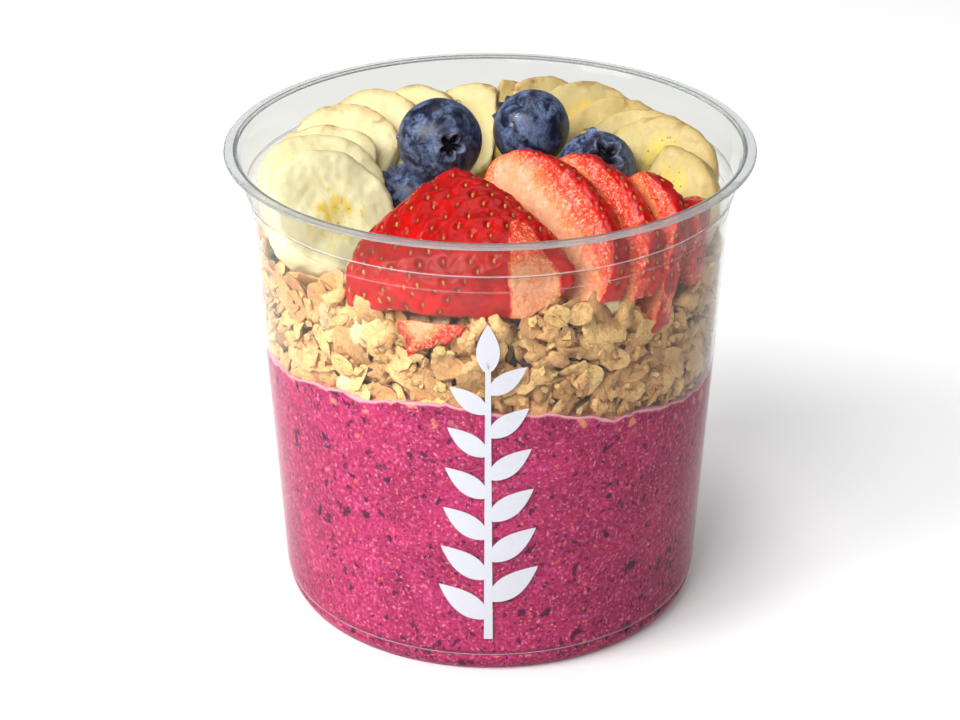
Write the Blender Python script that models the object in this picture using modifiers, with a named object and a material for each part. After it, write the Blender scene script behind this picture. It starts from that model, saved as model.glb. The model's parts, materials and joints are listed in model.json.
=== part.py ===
"""Acai bowl in a clear plastic cup.

Acai puree fills the lower part of the cup. Granola lies on it, and on the granola lie a ring of
banana slices, a few blueberries and a fan of strawberry slices. The origin is at the middle of the
cup's base, +Z points up, and the strawberries face -Y. All lengths are in metres.
"""
import math
import random

import bmesh
import bpy
from mathutils import Matrix, Vector
from mathutils.bvhtree import BVHTree

# Cup
CUP_HEIGHT = 0.108
RIM_RADIUS = 0.0585
LIP_THICKNESS = 0.0013
LIP_ROUND = 0.0004
MOUTH_RADIUS = 0.0555
NECK_TOP_RADIUS = 0.0552
NECK_TOP_HEIGHT = 0.1055
NECK_FOOT_RADIUS = 0.0539
NECK_FOOT_HEIGHT = 0.0984
LEDGE_RADIUS = 0.0532
LEDGE_HEIGHT = 0.0972
SHOULDER_RADIUS = 0.0527
SHOULDER_HEIGHT = 0.088
HEEL_RADIUS = 0.0481
HEEL_HEIGHT = 0.009
FOOT_RADIUS = 0.0446
HEEL_STEPS = 4
WALL = 0.0005
CUP_STEPS = 48

# Clearance between touching pieces, and the distance under which points are one
GAP = 0.0003
MERGE_DISTANCE = 0.00002

# Acai: its level along the wall, as azimuth in degrees and height, and its level in the middle
ACAI_LEVELS = (
    (-158, 0.0628), (-130, 0.0662), (-103, 0.0688), (-80, 0.0664), (-56, 0.0618), (-28, 0.0583),
    (10, 0.0602), (60, 0.0640), (110, 0.0616), (160, 0.0634),
)
ACAI_MIDDLE = 0.0655
ACAI_STEPS = 48
ACAI_RINGS = 3

# Granola: its level along the wall, a core with a mound under the berries, and flakes fused to it
GRANOLA_LEVELS = (
    (-170, 0.0825), (-156, 0.0825), (-132, 0.0872), (-108, 0.0850), (-76, 0.0868), (-60, 0.0868),
    (-44, 0.0785), (-30, 0.0815), (-14, 0.0860), (40, 0.0840), (90, 0.0830), (140, 0.0840),
)
CORE_TOP = 0.0826
MOUND_CENTRE = (0.0100, 0.0060)
MOUND_HEIGHT = 0.0150
MOUND_WIDTH = 0.0100
CORE_INSET = 0.0036
CORE_DROP = 0.0012
CORE_STEPS = 24
CORE_RING_SHARES = (0.20, 0.40, 0.60, 0.80)
CORE_FLOOR = 0.062
FLAKE_ROW_SPACING = 0.0066
FLAKES_PER_ROW = 25
TOP_FLAKES = 40
TOP_FLAKE_REACH = 0.046
FLAKE_LENGTH = (0.0074, 0.0106)
FLAKE_WIDTH = (0.0056, 0.0078)
FLAKE_THICKNESS = (0.0044, 0.0056)
FLAKE_LUMPS = (0.92, 1.12)
FLAKE_SIDES = 6
FLAKE_RINGS = 3
FLAKE_LEAN = 0.4
FLAKE_ROLL = 1.2
WALL_FLAKE_INSET = 0.46
TOP_FLAKE_LIFT = 0.2
ROW_FOOT = 0.55
ROW_HEAD = 0.35
ROW_SCATTER = 0.0008
AZIMUTH_SCATTER = 2.0

# Banana: two runs of fallen dominoes and a smaller slice between them at the back. Each row gives
# azimuths, the slices' radius, the ring's radius, and how much they look counterclockwise, inwards and up
BANANA_RUNS = (
    ((198.0, 183.0, 168.0, 153.0, 137.0, 120.0), 0.0150, 0.0372, (0.72, 0.20, 0.60)),
    ((98.0,), 0.0132, 0.0365, (0.42, 0.52, 0.70)),
    ((81.0, 68.0, 54.0, 40.0, 25.0, 10.0, -7.0), 0.0150, 0.0372, (-0.72, 0.42, 0.60)),
)
BANANA_RADIUS_WAVE = 0.025
BANANA_OVAL = 0.025
BANANA_CORNERS = 0.015
BANANA_THICKNESS = 0.0080
BANANA_EDGE = 0.0012
BANANA_SIDES = 20
BANANA_HEIGHT = 0.0942
BANANA_HEIGHT_WAVE = 0.0010
BANANA_NEIGHBOURS = 2

# Two slices are parted midway between their faces, or across the line between them where they stand
# more than this far out of line
OUT_OF_LINE = 0.35

# Blueberries: centre, radius, and the way the crown looks
BLUEBERRIES = (
    ((-0.0112, 0.0035, 0.1068), 0.0094, (0.29, -0.94, 0.20)),
    ((0.0092, 0.0110, 0.1068), 0.0088, (-0.75, 0.51, 0.36)),
    ((0.0236, -0.0005, 0.1012), 0.0089, (0.22, -0.66, 0.72)),
    ((-0.0178, 0.0085, 0.0912), 0.0080, (-0.60, -0.10, 0.60)),
)
BERRY_SIDES = 15
BERRY_RINGS = 9
BERRY_FLATNESS = 0.94
CROWN_POINTS = 5
CROWN_RIM = 0.0002
CROWN_POINT_HEIGHT = 0.0005
CROWN_DEPTH = 0.0026

# Strawberry slices: the first one's flat underside, which the slipped slice hangs below
FIRST_SLICE_FLOOR = 0.0872

# Its rows, from left to right: crest, toe, the way the cut face looks, width, depth of the
# whole berry across the cut, the slab's two faces as distances from the berry's middle, floor, and how
# the width runs from toe to crest: under 1 widest near the toe, and how blunt, 0.5 for an ellipse
STRAWBERRIES = (
    ((-0.0075, -0.0205, 0.1100), (-0.0080, -0.0600, 0.0770), (-0.20, -0.66, 0.72), 0.054, 0.022,
     -0.002, 0.012, FIRST_SLICE_FLOOR, (0.72, 0.75)),
    ((0.0030, -0.0100, 0.1079), (0.0226, -0.0505, 0.0832), (-0.62, -0.45, 0.64), 0.032, 0.040,
     -0.003, 0.003, 0.0885, (0.90, 0.50)),
    ((0.0160, -0.0122, 0.1088), (0.0314, -0.0449, 0.0831), (-0.66, -0.38, 0.64), 0.027, 0.036,
     -0.003, 0.003, 0.0870, (0.90, 0.50)),
    ((0.0316, -0.0211, 0.1095), (0.0398, -0.0397, 0.0793), (-0.70, -0.34, 0.62), 0.022, 0.030,
     -0.003, 0.003, 0.0780, (0.90, 0.55)),
    ((0.0421, -0.0202, 0.1033), (0.0468, -0.0272, 0.0850), (-0.70, -0.30, 0.64), 0.020, 0.024,
     -0.003, 0.003, 0.0840, (0.90, 0.50)),
)
STRAWBERRY_SIDES = 18
STRAWBERRY_RINGS = 10

# The stem-end cut on the first slice: a point on it and the way it faces
STEM_CUT = ((0.0035, -0.0505, 0.0950), (0.35, -0.93, 0.12))

# Planes that part the strawberries from the bananas at either end: a point, and the way towards the
# strawberries
LEFT_PARTING = ((-0.0265, -0.0290, 0.0970), (0.92, -0.38, 0.05))
RIGHT_PARTING = ((0.0450, -0.0140, 0.0960), (0.05, -0.85, 0.50))
PARTED_SLICES = 2
SLICE_FLOOR_RADIUS = 0.048
SLICE_FLOOR_SLOPE = 0.17

# The small slice pinched between the first one and the wall, point down
SLIP_CREST = (-0.0095, -0.0490, 0.0975)
SLIP_TOE = (-0.0180, -0.0500, 0.0785)
SLIP_FACING = (-0.25, -0.95, 0.05)
SLIP_WIDTH = 0.019
SLIP_THICKNESS = 0.0026
SLIP_OUTLINE = (1.35, 0.90)

# How far in from the wall soft fruit gives way to it
PRESS_DEPTH = 0.0030

# Edges sharper than this many degrees stay sharp
SHARP_ANGLE = 40.0

SEED = 11


def clear_scene():
    for old in list(bpy.data.objects):
        bpy.data.objects.remove(old, do_unlink=True)


def new_collection(name):
    collection = bpy.data.collections.new(name)
    bpy.context.scene.collection.children.link(collection)
    return collection


def make_material(name, colour, roughness, transmission=0.0):
    material = bpy.data.materials.new(name)
    material.use_nodes = True
    shader = material.node_tree.nodes["Principled BSDF"]
    shader.inputs["Base Color"].default_value = (*colour, 1.0)
    shader.inputs["Roughness"].default_value = roughness
    shader.inputs["Metallic"].default_value = 0.0
    shader.inputs["Transmission Weight"].default_value = transmission
    return material


def add_object(name, mesh, material, collection):
    mesh.materials.append(material)
    mesh.shade_smooth()
    mesh.set_sharp_from_angle(angle=math.radians(SHARP_ANGLE))
    piece = bpy.data.objects.new(name, mesh)
    collection.objects.link(piece)
    return piece


def mesh_from(name, bm):
    bmesh.ops.remove_doubles(bm, verts=bm.verts, dist=MERGE_DISTANCE)
    bmesh.ops.recalc_face_normals(bm, faces=bm.faces)
    bmesh.ops.triangulate(bm, faces=bm.faces)
    mesh = bpy.data.meshes.new(name)
    bm.to_mesh(mesh)
    bm.free()
    return mesh


def place_object(name, bm, centre, material, collection):
    """An object at its own centre, from a mesh that was shaped in place."""
    bmesh.ops.translate(bm, verts=bm.verts, vec=-Vector(centre))
    piece = add_object(name, mesh_from(name, bm), material, collection)
    piece.location = centre
    return piece


def turned(name, profile, steps, material, collection):
    """A profile in the XZ plane, outer side first and top to bottom, turned about Z."""
    mesh = bpy.data.meshes.new(name)
    count = len(profile)
    pairs = [(i, (i + 1) % count) for i in range(count)]
    edges = [(a, b) for a, b in pairs if profile[a][0] > 0.0 or profile[b][0] > 0.0]
    mesh.from_pydata([(r, 0.0, z) for r, z in profile], edges, [])
    piece = add_object(name, mesh, material, collection)
    screw = piece.modifiers.new("Turn", "SCREW")
    screw.axis = "Z"
    screw.angle = math.tau
    screw.steps = steps
    screw.render_steps = steps
    screw.use_merge_vertices = True
    screw.merge_threshold = MERGE_DISTANCE
    screw.use_smooth_shade = True
    return piece


def baked(piece):
    """The same object with its modifiers applied."""
    bpy.context.view_layer.update()
    depsgraph = bpy.context.evaluated_depsgraph_get()
    mesh = bpy.data.meshes.new_from_object(piece.evaluated_get(depsgraph))
    piece.modifiers.clear()
    piece.data = mesh
    return piece


def split_faces(piece):
    """Split all faces into triangles the same way on every copy of a shape."""
    bm = bmesh.new()
    bm.from_mesh(piece.data)
    bmesh.ops.triangulate(bm, faces=bm.faces, quad_method="FIXED")
    bm.to_mesh(piece.data)
    bm.free()


def azimuth_of(x, y):
    return math.degrees(math.atan2(y, x))


def smooth_step(share):
    share = min(1.0, max(0.0, share))
    return share * share * (3.0 - 2.0 * share)


def level_at(azimuth, levels):
    """A smooth wave round the cup through the given azimuths and heights."""
    azimuth = (azimuth + 180.0) % 360.0 - 180.0
    knots = [(a - 360.0, z) for a, z in levels] + list(levels) + [(a + 360.0, z) for a, z in levels]
    for (a0, z0), (a1, z1) in zip(knots, knots[1:]):
        if a0 <= azimuth < a1:
            return z0 + smooth_step((azimuth - a0) / (a1 - a0)) * (z1 - z0)
    raise ValueError("azimuth outside the knots")


def outer_radius(height):
    """The cup's outer radius on its long taper, continued up past the shoulder."""
    share = (height - HEEL_HEIGHT) / (SHOULDER_HEIGHT - HEEL_HEIGHT)
    return HEEL_RADIUS + share * (SHOULDER_RADIUS - HEEL_RADIUS)


def room_radius(height):
    """How far out contents may reach, clear of the flat facets of the wall."""
    return (outer_radius(height) - WALL) * math.cos(math.pi / CUP_STEPS) - GAP


def heel_arc(inset):
    """The rounded corner between the wall and the base, from the wall down to the foot."""
    points = []
    for i in range(HEEL_STEPS + 1):
        turn = 0.5 * math.pi * i / HEEL_STEPS
        r = FOOT_RADIUS + (HEEL_RADIUS - FOOT_RADIUS) * math.cos(turn)
        z = HEEL_HEIGHT * (1.0 - math.sin(turn))
        points.append((r - inset * math.cos(turn), z + inset * math.sin(turn)))
    return points


def build_cup(material, collection):
    outside = [
        (RIM_RADIUS - LIP_ROUND, CUP_HEIGHT),
        (RIM_RADIUS, CUP_HEIGHT - LIP_ROUND),
        (RIM_RADIUS, CUP_HEIGHT - LIP_THICKNESS + LIP_ROUND),
        (RIM_RADIUS - LIP_ROUND, CUP_HEIGHT - LIP_THICKNESS),
        (MOUTH_RADIUS + WALL, CUP_HEIGHT - LIP_THICKNESS),
        (NECK_TOP_RADIUS, NECK_TOP_HEIGHT),
        (NECK_FOOT_RADIUS, NECK_FOOT_HEIGHT),
        (LEDGE_RADIUS, LEDGE_HEIGHT),
        (SHOULDER_RADIUS, SHOULDER_HEIGHT),
    ] + heel_arc(0.0) + [(0.0, 0.0)]
    inside = [(0.0, WALL)] + heel_arc(WALL)[::-1] + [
        (SHOULDER_RADIUS - WALL, SHOULDER_HEIGHT),
        (LEDGE_RADIUS - WALL, LEDGE_HEIGHT + 0.5 * WALL),
        (NECK_FOOT_RADIUS - WALL, NECK_FOOT_HEIGHT + 0.5 * WALL),
        (NECK_TOP_RADIUS - WALL, NECK_TOP_HEIGHT),
        (MOUTH_RADIUS - LIP_ROUND, CUP_HEIGHT - LIP_THICKNESS),
        (MOUTH_RADIUS, CUP_HEIGHT - LIP_ROUND),
        (MOUTH_RADIUS + LIP_ROUND, CUP_HEIGHT),
    ]
    return turned("cup", outside + inside, CUP_STEPS, material, collection)


def acai_top(x, y):
    """Height of the acai's upper face at a place."""
    share = min(1.0, math.hypot(x, y) / room_radius(ACAI_MIDDLE))
    wall_level = level_at(azimuth_of(x, y), ACAI_LEVELS)
    return ACAI_MIDDLE + share * share * (wall_level - ACAI_MIDDLE)


def build_acai(material, collection):
    lowest = min(z for _, z in ACAI_LEVELS)
    reach = room_radius(lowest)
    top = [(reach * i / ACAI_RINGS, lowest) for i in range(ACAI_RINGS + 1)]
    side = [(r - GAP, z + GAP) for r, z in heel_arc(WALL)] + [(0.0, WALL + GAP)]
    acai = baked(turned("acai", top + side, ACAI_STEPS, material, collection))
    for vertex in acai.data.vertices:
        if vertex.co.z > lowest - GAP:
            at_wall = math.hypot(vertex.co.x, vertex.co.y) > 0.99 * reach
            vertex.co.z = acai_top(vertex.co.x, vertex.co.y)
            if at_wall:
                vertex.co.xy *= room_radius(vertex.co.z) / reach
    split_faces(acai)
    return acai


def core_top(x, y, reach):
    """Height of the granola core: a mound under the berries, and the wall level at its edge."""
    away = math.hypot(x - MOUND_CENTRE[0], y - MOUND_CENTRE[1])
    mound = CORE_TOP + MOUND_HEIGHT * math.exp(-0.5 * (away / MOUND_WIDTH) ** 2)
    edge = level_at(azimuth_of(x, y), GRANOLA_LEVELS) - CORE_DROP
    inner = CORE_RING_SHARES[-2]
    share = smooth_step((math.hypot(x, y) / reach - inner) / (1.0 - inner))
    return mound + share * (edge - mound)


def build_core(name, grown, material, collection):
    """The granola's core, or with a clearance the room that the fruit leaves for it."""
    reach = room_radius(CORE_TOP) - CORE_INSET
    shares = (0.0,) + CORE_RING_SHARES + (1.0,)
    top = [((reach + grown) * share, CORE_TOP) for share in shares]
    foot = room_radius(CORE_FLOOR) - CORE_INSET
    side = [(foot + grown, CORE_FLOOR), (0.6 * foot, CORE_FLOOR), (0.0, CORE_FLOOR)]
    core = baked(turned(name, top + side, CORE_STEPS, material, collection))
    for vertex in core.data.vertices:
        if vertex.co.z > 0.5 * (CORE_TOP + CORE_FLOOR):
            vertex.co.z = core_top(vertex.co.x, vertex.co.y, reach + grown) + grown
        else:
            vertex.co.z = acai_top(vertex.co.x, vertex.co.y) + 2.0 * GAP
    split_faces(core)
    return core


def cut_away(bm, point, normal, clearance=GAP):
    """Remove what lies beyond a plane, and close the cut."""
    normal = Vector(normal).normalized()
    cut = bmesh.ops.bisect_plane(
        bm, geom=bm.verts[:] + bm.edges[:] + bm.faces[:], dist=0.5 * MERGE_DISTANCE,
        plane_co=Vector(point) - normal * clearance, plane_no=normal, clear_outer=True)
    edges = [e for e in cut["geom_cut"] if isinstance(e, bmesh.types.BMEdge)]
    if edges:
        bmesh.ops.edgeloop_fill(bm, edges=edges)


def cut_between(bm, centre, normal, other_centre, other_normal):
    """Part two neighbouring slices by the plane midway between them."""
    away = other_centre - centre
    facing = normal + other_normal
    if abs(facing.normalized().dot(away.normalized())) < OUT_OF_LINE:
        facing = away
    if facing.dot(away) < 0.0:
        facing = -facing
    cut_away(bm, 0.5 * (centre + other_centre), facing)


def give_way_to_berries(bm, centre):
    """Flatten a soft slice where a blueberry touches it."""
    for place, radius, _ in BLUEBERRIES:
        normal = (Vector(place) - centre).normalized()
        cut_away(bm, Vector(place) - normal * radius, normal)


def press_to_wall(bm):
    """Let what reaches the wall give way softly, so that it lies along it."""
    for vertex in bm.verts:
        reach = math.hypot(vertex.co.x, vertex.co.y)
        limit = room_radius(vertex.co.z)
        start = limit - PRESS_DEPTH
        if reach > start:
            pressed = limit - PRESS_DEPTH * math.exp(-(reach - start) / PRESS_DEPTH)
            vertex.co.xy *= pressed / reach


def rest_on_granola(piece, granola_room):
    """Cut away what would sink into the granola's core."""
    cut = piece.modifiers.new("Rest on granola", "BOOLEAN")
    cut.operation = "DIFFERENCE"
    cut.solver = "EXACT"
    cut.object = granola_room


def frame_from(centre, facing, along):
    """Local Z on the long way and local X as near to the facing as that allows, at a centre."""
    z_axis = Vector(along).normalized()
    x_axis = Vector(facing)
    x_axis = (x_axis - z_axis * x_axis.dot(z_axis)).normalized()
    turn = Matrix((x_axis, z_axis.cross(x_axis), z_axis)).transposed().to_4x4()
    return Matrix.Translation(centre) @ turn


def banana_places():
    """Centre, normal and radius of each slice, from the front left round the back to the right."""
    places = []
    for azimuths, radius, ring_radius, (forward, inward, upward) in BANANA_RUNS:
        for azimuth in azimuths:
            angle = math.radians(azimuth)
            outward = Vector((math.cos(angle), math.sin(angle), 0.0))
            ahead = Vector((-outward.y, outward.x, 0.0))
            normal = (forward * ahead - inward * outward + Vector((0.0, 0.0, upward))).normalized()
            height = BANANA_HEIGHT + BANANA_HEIGHT_WAVE * math.sin(8.0 * angle)
            places.append((outward * ring_radius + Vector((0.0, 0.0, height)), normal, radius))
    return places


def build_bananas(granola_room, material, collection):
    places = banana_places()
    for i, (centre, normal, radius) in enumerate(places):
        radius *= 1.0 + BANANA_RADIUS_WAVE * math.sin(1.7 * i)
        bm = bmesh.new()
        bmesh.ops.create_cone(bm, cap_ends=True, segments=BANANA_SIDES, radius1=radius,
                              radius2=radius, depth=BANANA_THICKNESS)
        rims = [e for e in bm.edges if abs(e.verts[0].co.z - e.verts[1].co.z) < GAP]
        bmesh.ops.bevel(bm, geom=rims, offset=BANANA_EDGE, segments=1, affect="EDGES")
        for vertex in bm.verts:
            angle = math.atan2(vertex.co.y, vertex.co.x)
            vertex.co.xy *= (1.0 + BANANA_OVAL * math.cos(2.0 * angle + i)
                             + BANANA_CORNERS * math.cos(3.0 * angle - i))
        turn = Vector((0.0, 0.0, 1.0)).rotation_difference(normal).to_matrix().to_4x4()
        bm.transform(Matrix.Translation(centre) @ turn)
        for other in places[max(0, i - BANANA_NEIGHBOURS):i] + places[i + 1:i + 1 + BANANA_NEIGHBOURS]:
            cut_between(bm, centre, normal, other[0], other[1])
        if i < PARTED_SLICES:
            cut_away(bm, *LEFT_PARTING)
        if i >= len(places) - PARTED_SLICES:
            cut_away(bm, *RIGHT_PARTING)
        give_way_to_berries(bm, centre)
        press_to_wall(bm)
        piece = place_object("banana_slice_%02d" % (i + 1), bm, centre, material, collection)
        rest_on_granola(piece, granola_room)


def build_blueberries(material, collection):
    """Slightly flat balls whose pole is sunk, with a ring of sepals round it."""
    ring_angle = math.pi / BERRY_RINGS
    for i, (centre, radius, crown) in enumerate(BLUEBERRIES):
        bm = bmesh.new()
        bmesh.ops.create_uvsphere(bm, u_segments=BERRY_SIDES, v_segments=BERRY_RINGS, radius=radius)
        for vertex in bm.verts:
            polar = math.acos(max(-1.0, min(1.0, vertex.co.z / radius)))
            angle = math.atan2(vertex.co.y, vertex.co.x)
            ring = round(polar / ring_angle)
            vertex.co.z *= BERRY_FLATNESS
            if ring == 0:
                vertex.co.z -= CROWN_DEPTH
            elif ring == 1:
                vertex.co.z += CROWN_RIM + CROWN_POINT_HEIGHT * math.cos(CROWN_POINTS * angle)
        bm.transform(Vector((0.0, 0.0, 1.0)).rotation_difference(Vector(crown)).to_matrix().to_4x4())
        bm.transform(Matrix.Translation(centre))
        place_object("blueberry_%d" % (i + 1), bm, centre, material, collection)


def strawberry_slab(width, depth, length, low, high, outline):
    """A slab out of a strawberry: length on Z, width on Y, and its two cut faces across X."""
    shoulder, bluntness = outline
    bm = bmesh.new()
    bmesh.ops.create_uvsphere(bm, u_segments=STRAWBERRY_SIDES, v_segments=STRAWBERRY_RINGS, radius=1.0)
    for vertex in bm.verts:
        share = 0.5 * (1.0 - vertex.co.z)
        reach = math.hypot(vertex.co.x, vertex.co.y)
        if reach > 0.001:
            girth = math.sin(math.pi * share ** shoulder) ** bluntness
            vertex.co.x *= 0.5 * depth * girth / reach
            vertex.co.y *= 0.5 * width * girth / reach
        vertex.co.z = length * (0.5 - share)
    cut_away(bm, (high, 0.0, 0.0), (1.0, 0.0, 0.0), 0.0)
    cut_away(bm, (low, 0.0, 0.0), (-1.0, 0.0, 0.0), 0.0)
    return bm


def build_strawberries(granola_room, material, collection):
    frames = []
    for crest, toe, facing, *_ in STRAWBERRIES:
        centre = 0.5 * (Vector(crest) + Vector(toe))
        frames.append(frame_from(centre, facing, Vector(toe) - Vector(crest)))
    for i, (crest, toe, _, width, depth, low, high, floor, outline) in enumerate(STRAWBERRIES):
        centre = frames[i].translation
        length = (Vector(toe) - Vector(crest)).length
        bm = strawberry_slab(width, depth, length, low, high, outline)
        bm.transform(frames[i])
        for j in (i - 1, i + 1):
            if 0 <= j < len(frames):
                cut_between(bm, centre, frames[i].to_3x3().col[0],
                            frames[j].translation, frames[j].to_3x3().col[0])
        if i == 0:
            cut_away(bm, *STEM_CUT)
            cut_away(bm, LEFT_PARTING[0], -Vector(LEFT_PARTING[1]))
        if i >= len(frames) - PARTED_SLICES:
            cut_away(bm, RIGHT_PARTING[0], -Vector(RIGHT_PARTING[1]))
        outward = Vector((centre.x, centre.y, 0.0)).normalized()
        foot = outward * SLICE_FLOOR_RADIUS + Vector((0.0, 0.0, floor))
        cut_away(bm, foot, outward * SLICE_FLOOR_SLOPE - Vector((0.0, 0.0, 1.0)))
        give_way_to_berries(bm, centre)
        press_to_wall(bm)
        piece = place_object("strawberry_slice_%d" % (i + 1), bm, centre, material, collection)
        rest_on_granola(piece, granola_room)


def build_slip_slice(material, collection):
    """The small pale slice that is pinched under the first one, against the wall."""
    crest, toe = Vector(SLIP_CREST), Vector(SLIP_TOE)
    bm = strawberry_slab(SLIP_WIDTH, 2.0 * SLIP_WIDTH, (toe - crest).length,
                         -0.5 * SLIP_THICKNESS, 0.5 * SLIP_THICKNESS, SLIP_OUTLINE)
    centre = 0.5 * (crest + toe)
    bm.transform(frame_from(centre, SLIP_FACING, toe - crest))
    core_edge = room_radius(CORE_TOP) - CORE_INSET
    outward = Vector((centre.x, centre.y, 0.0)).normalized()
    press_to_wall(bm)
    cut_away(bm, outward * (core_edge + GAP), -outward)
    cut_away(bm, (0.0, 0.0, FIRST_SLICE_FLOOR), (0.0, 0.0, 1.0))
    place_object("strawberry_slice_%d" % (len(STRAWBERRIES) + 1), bm, centre, material, collection)


def flake_mesh(rng):
    """One rolled flake or nut, a lumpy flattened ball with few sides."""
    length = rng.uniform(*FLAKE_LENGTH)
    width = rng.uniform(*FLAKE_WIDTH)
    thickness = rng.uniform(*FLAKE_THICKNESS)
    bm = bmesh.new()
    bmesh.ops.create_uvsphere(bm, u_segments=FLAKE_SIDES, v_segments=FLAKE_RINGS, radius=0.5)
    for vertex in bm.verts:
        vertex.co *= rng.uniform(*FLAKE_LUMPS)
        vertex.co = Vector((vertex.co.x * length, vertex.co.y * width, vertex.co.z * thickness))
    return bm, thickness


def side_flake_places(rng):
    """Rows of places round the wall between the acai and the top of the granola."""
    places = []
    for i in range(FLAKES_PER_ROW):
        azimuth = 360.0 * i / FLAKES_PER_ROW
        low = level_at(azimuth, ACAI_LEVELS) + ROW_FOOT * FLAKE_ROW_SPACING
        high = level_at(azimuth, GRANOLA_LEVELS) - ROW_HEAD * FLAKE_ROW_SPACING
        rows = max(2, round((high - low) / FLAKE_ROW_SPACING) + 1)
        for row in range(rows):
            stagger = (180.0 / FLAKES_PER_ROW) * (row % 2)
            turn = azimuth + stagger + rng.uniform(-AZIMUTH_SCATTER, AZIMUTH_SCATTER)
            height = low + (high - low) * row / (rows - 1) + rng.uniform(-ROW_SCATTER, ROW_SCATTER)
            places.append((math.radians(turn), height))
    return places


def keep_inside(bm):
    """Flatten a flake against the wall, and lift it off the acai."""
    for vertex in bm.verts:
        reach = math.hypot(vertex.co.x, vertex.co.y)
        limit = room_radius(vertex.co.z) - GAP
        if reach > limit:
            vertex.co.xy *= limit / reach
        floor = acai_top(vertex.co.x, vertex.co.y) + 3.0 * GAP
        if vertex.co.z < floor:
            vertex.co.z = floor


def build_flakes(fruit, material, collection):
    """Flakes clear of all fruit, in a collection of their own."""
    rng = random.Random(SEED)
    flakes = []
    for angle, height in side_flake_places(rng):
        bm, thickness = flake_mesh(rng)
        outward = Vector((math.cos(angle), math.sin(angle), 0.0))
        lean = Vector([rng.uniform(-FLAKE_LEAN, FLAKE_LEAN) for _ in range(3)])
        roll = rng.uniform(-FLAKE_ROLL, FLAKE_ROLL)
        along = outward.cross(Vector((0.0, 0.0, 1.0))) + Vector((0.0, 0.0, roll))
        depth = room_radius(height) - WALL_FLAKE_INSET * thickness
        flakes.append((bm, outward * depth + Vector((0.0, 0.0, height)), outward + lean, along))
    for _ in range(TOP_FLAKES):
        bm, thickness = flake_mesh(rng)
        angle = rng.uniform(0.0, math.tau)
        radius = TOP_FLAKE_REACH * math.sqrt(rng.random())
        x, y = radius * math.cos(angle), radius * math.sin(angle)
        reach = room_radius(CORE_TOP) - CORE_INSET
        centre = Vector((x, y, core_top(x, y, reach) + TOP_FLAKE_LIFT * thickness))
        lean = Vector((rng.uniform(-FLAKE_LEAN, FLAKE_LEAN), rng.uniform(-FLAKE_LEAN, FLAKE_LEAN), 1.0))
        flakes.append((bm, centre, lean, (math.cos(3.0 * angle), math.sin(3.0 * angle), 0.0)))
    kept = 0
    for bm, centre, facing, along in flakes:
        z_axis = Vector(facing).normalized()
        bm.transform(Matrix.Translation(centre) @ frame_from((0, 0, 0), along, z_axis).to_3x3().to_4x4())
        keep_inside(bm)
        tree = BVHTree.FromBMesh(bm, epsilon=GAP)
        if any(tree.overlap(other) for other in fruit):
            bm.free()
            continue
        kept += 1
        add_object("flake_%03d" % kept, mesh_from("flake", bm), material, collection)


def fruit_trees(collection):
    """Search trees of all fruit as built, in world space."""
    bpy.context.view_layer.update()
    depsgraph = bpy.context.evaluated_depsgraph_get()
    trees = []
    for piece in collection.objects:
        if piece.name in ("cup", "acai", "granola"):
            continue
        bm = bmesh.new()
        bm.from_mesh(piece.evaluated_get(depsgraph).to_mesh())
        bm.transform(piece.matrix_world)
        trees.append(BVHTree.FromBMesh(bm, epsilon=GAP))
        bm.free()
    return trees


def drop_scraps(piece):
    """Keep the one large body of a joined mesh."""
    bm = bmesh.new()
    bm.from_mesh(piece.data)
    left = set(bm.verts)
    bodies = []
    while left:
        body = set()
        edge = [left.pop()]
        while edge:
            vertex = edge.pop()
            body.add(vertex)
            for link in vertex.link_edges:
                other = link.other_vert(vertex)
                if other in left:
                    left.remove(other)
                    edge.append(other)
        bodies.append(body)
    bodies.sort(key=len)
    for body in bodies[:-1]:
        bmesh.ops.delete(bm, geom=list(body), context="VERTS")
    bmesh.ops.triangulate(bm, faces=bm.faces)
    bm.to_mesh(piece.data)
    bm.free()


def build_granola(material, bowl):
    granola = build_core("granola", 0.0, material, bowl)
    flakes = new_collection("Flakes")
    build_flakes(fruit_trees(bowl), material, flakes)
    join = granola.modifiers.new("Join flakes", "BOOLEAN")
    join.operation = "UNION"
    join.solver = "MANIFOLD"
    join.operand_type = "COLLECTION"
    join.collection = flakes
    baked(granola)
    for flake in list(flakes.objects):
        bpy.data.objects.remove(flake, do_unlink=True)
    bpy.data.collections.remove(flakes)
    drop_scraps(granola)


def main():
    clear_scene()
    bowl = new_collection("Acai bowl")
    cutters = new_collection("Cutters")
    clear_plastic = make_material("Clear plastic", (0.86, 0.88, 0.88), 0.06, 0.9)
    puree = make_material("Acai puree", (0.42, 0.06, 0.19), 0.45)
    oats = make_material("Toasted oats", (0.66, 0.44, 0.22), 0.75)
    banana = make_material("Banana flesh", (0.88, 0.77, 0.46), 0.5)
    blueberry = make_material("Blueberry skin", (0.06, 0.09, 0.20), 0.55)
    strawberry = make_material("Strawberry flesh", (0.68, 0.04, 0.03), 0.3)
    granola_room = build_core("granola_room", GAP, oats, cutters)
    granola_room.hide_render = True
    granola_room.display_type = "WIRE"
    build_cup(clear_plastic, bowl)
    build_acai(puree, bowl)
    build_bananas(granola_room, banana, bowl)
    build_blueberries(blueberry, bowl)
    build_strawberries(granola_room, strawberry, bowl)
    build_slip_slice(strawberry, bowl)
    build_granola(oats, bowl)


main()
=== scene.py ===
"""Acai bowl in a clear cup: the finished looks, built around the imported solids.

The file is laid out as an add-on and run as a script. Every piece is made by an operator of its own, and
the panel in the 3D view's sidebar lists them in the order in which main() calls them.
All lengths are in metres, +Z is up, and the strawberries face -Y.
"""
import json
import math
import random

import bpy
import numpy as np
from mathutils import Matrix, Vector, noise
from mathutils.bvhtree import BVHTree

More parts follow.
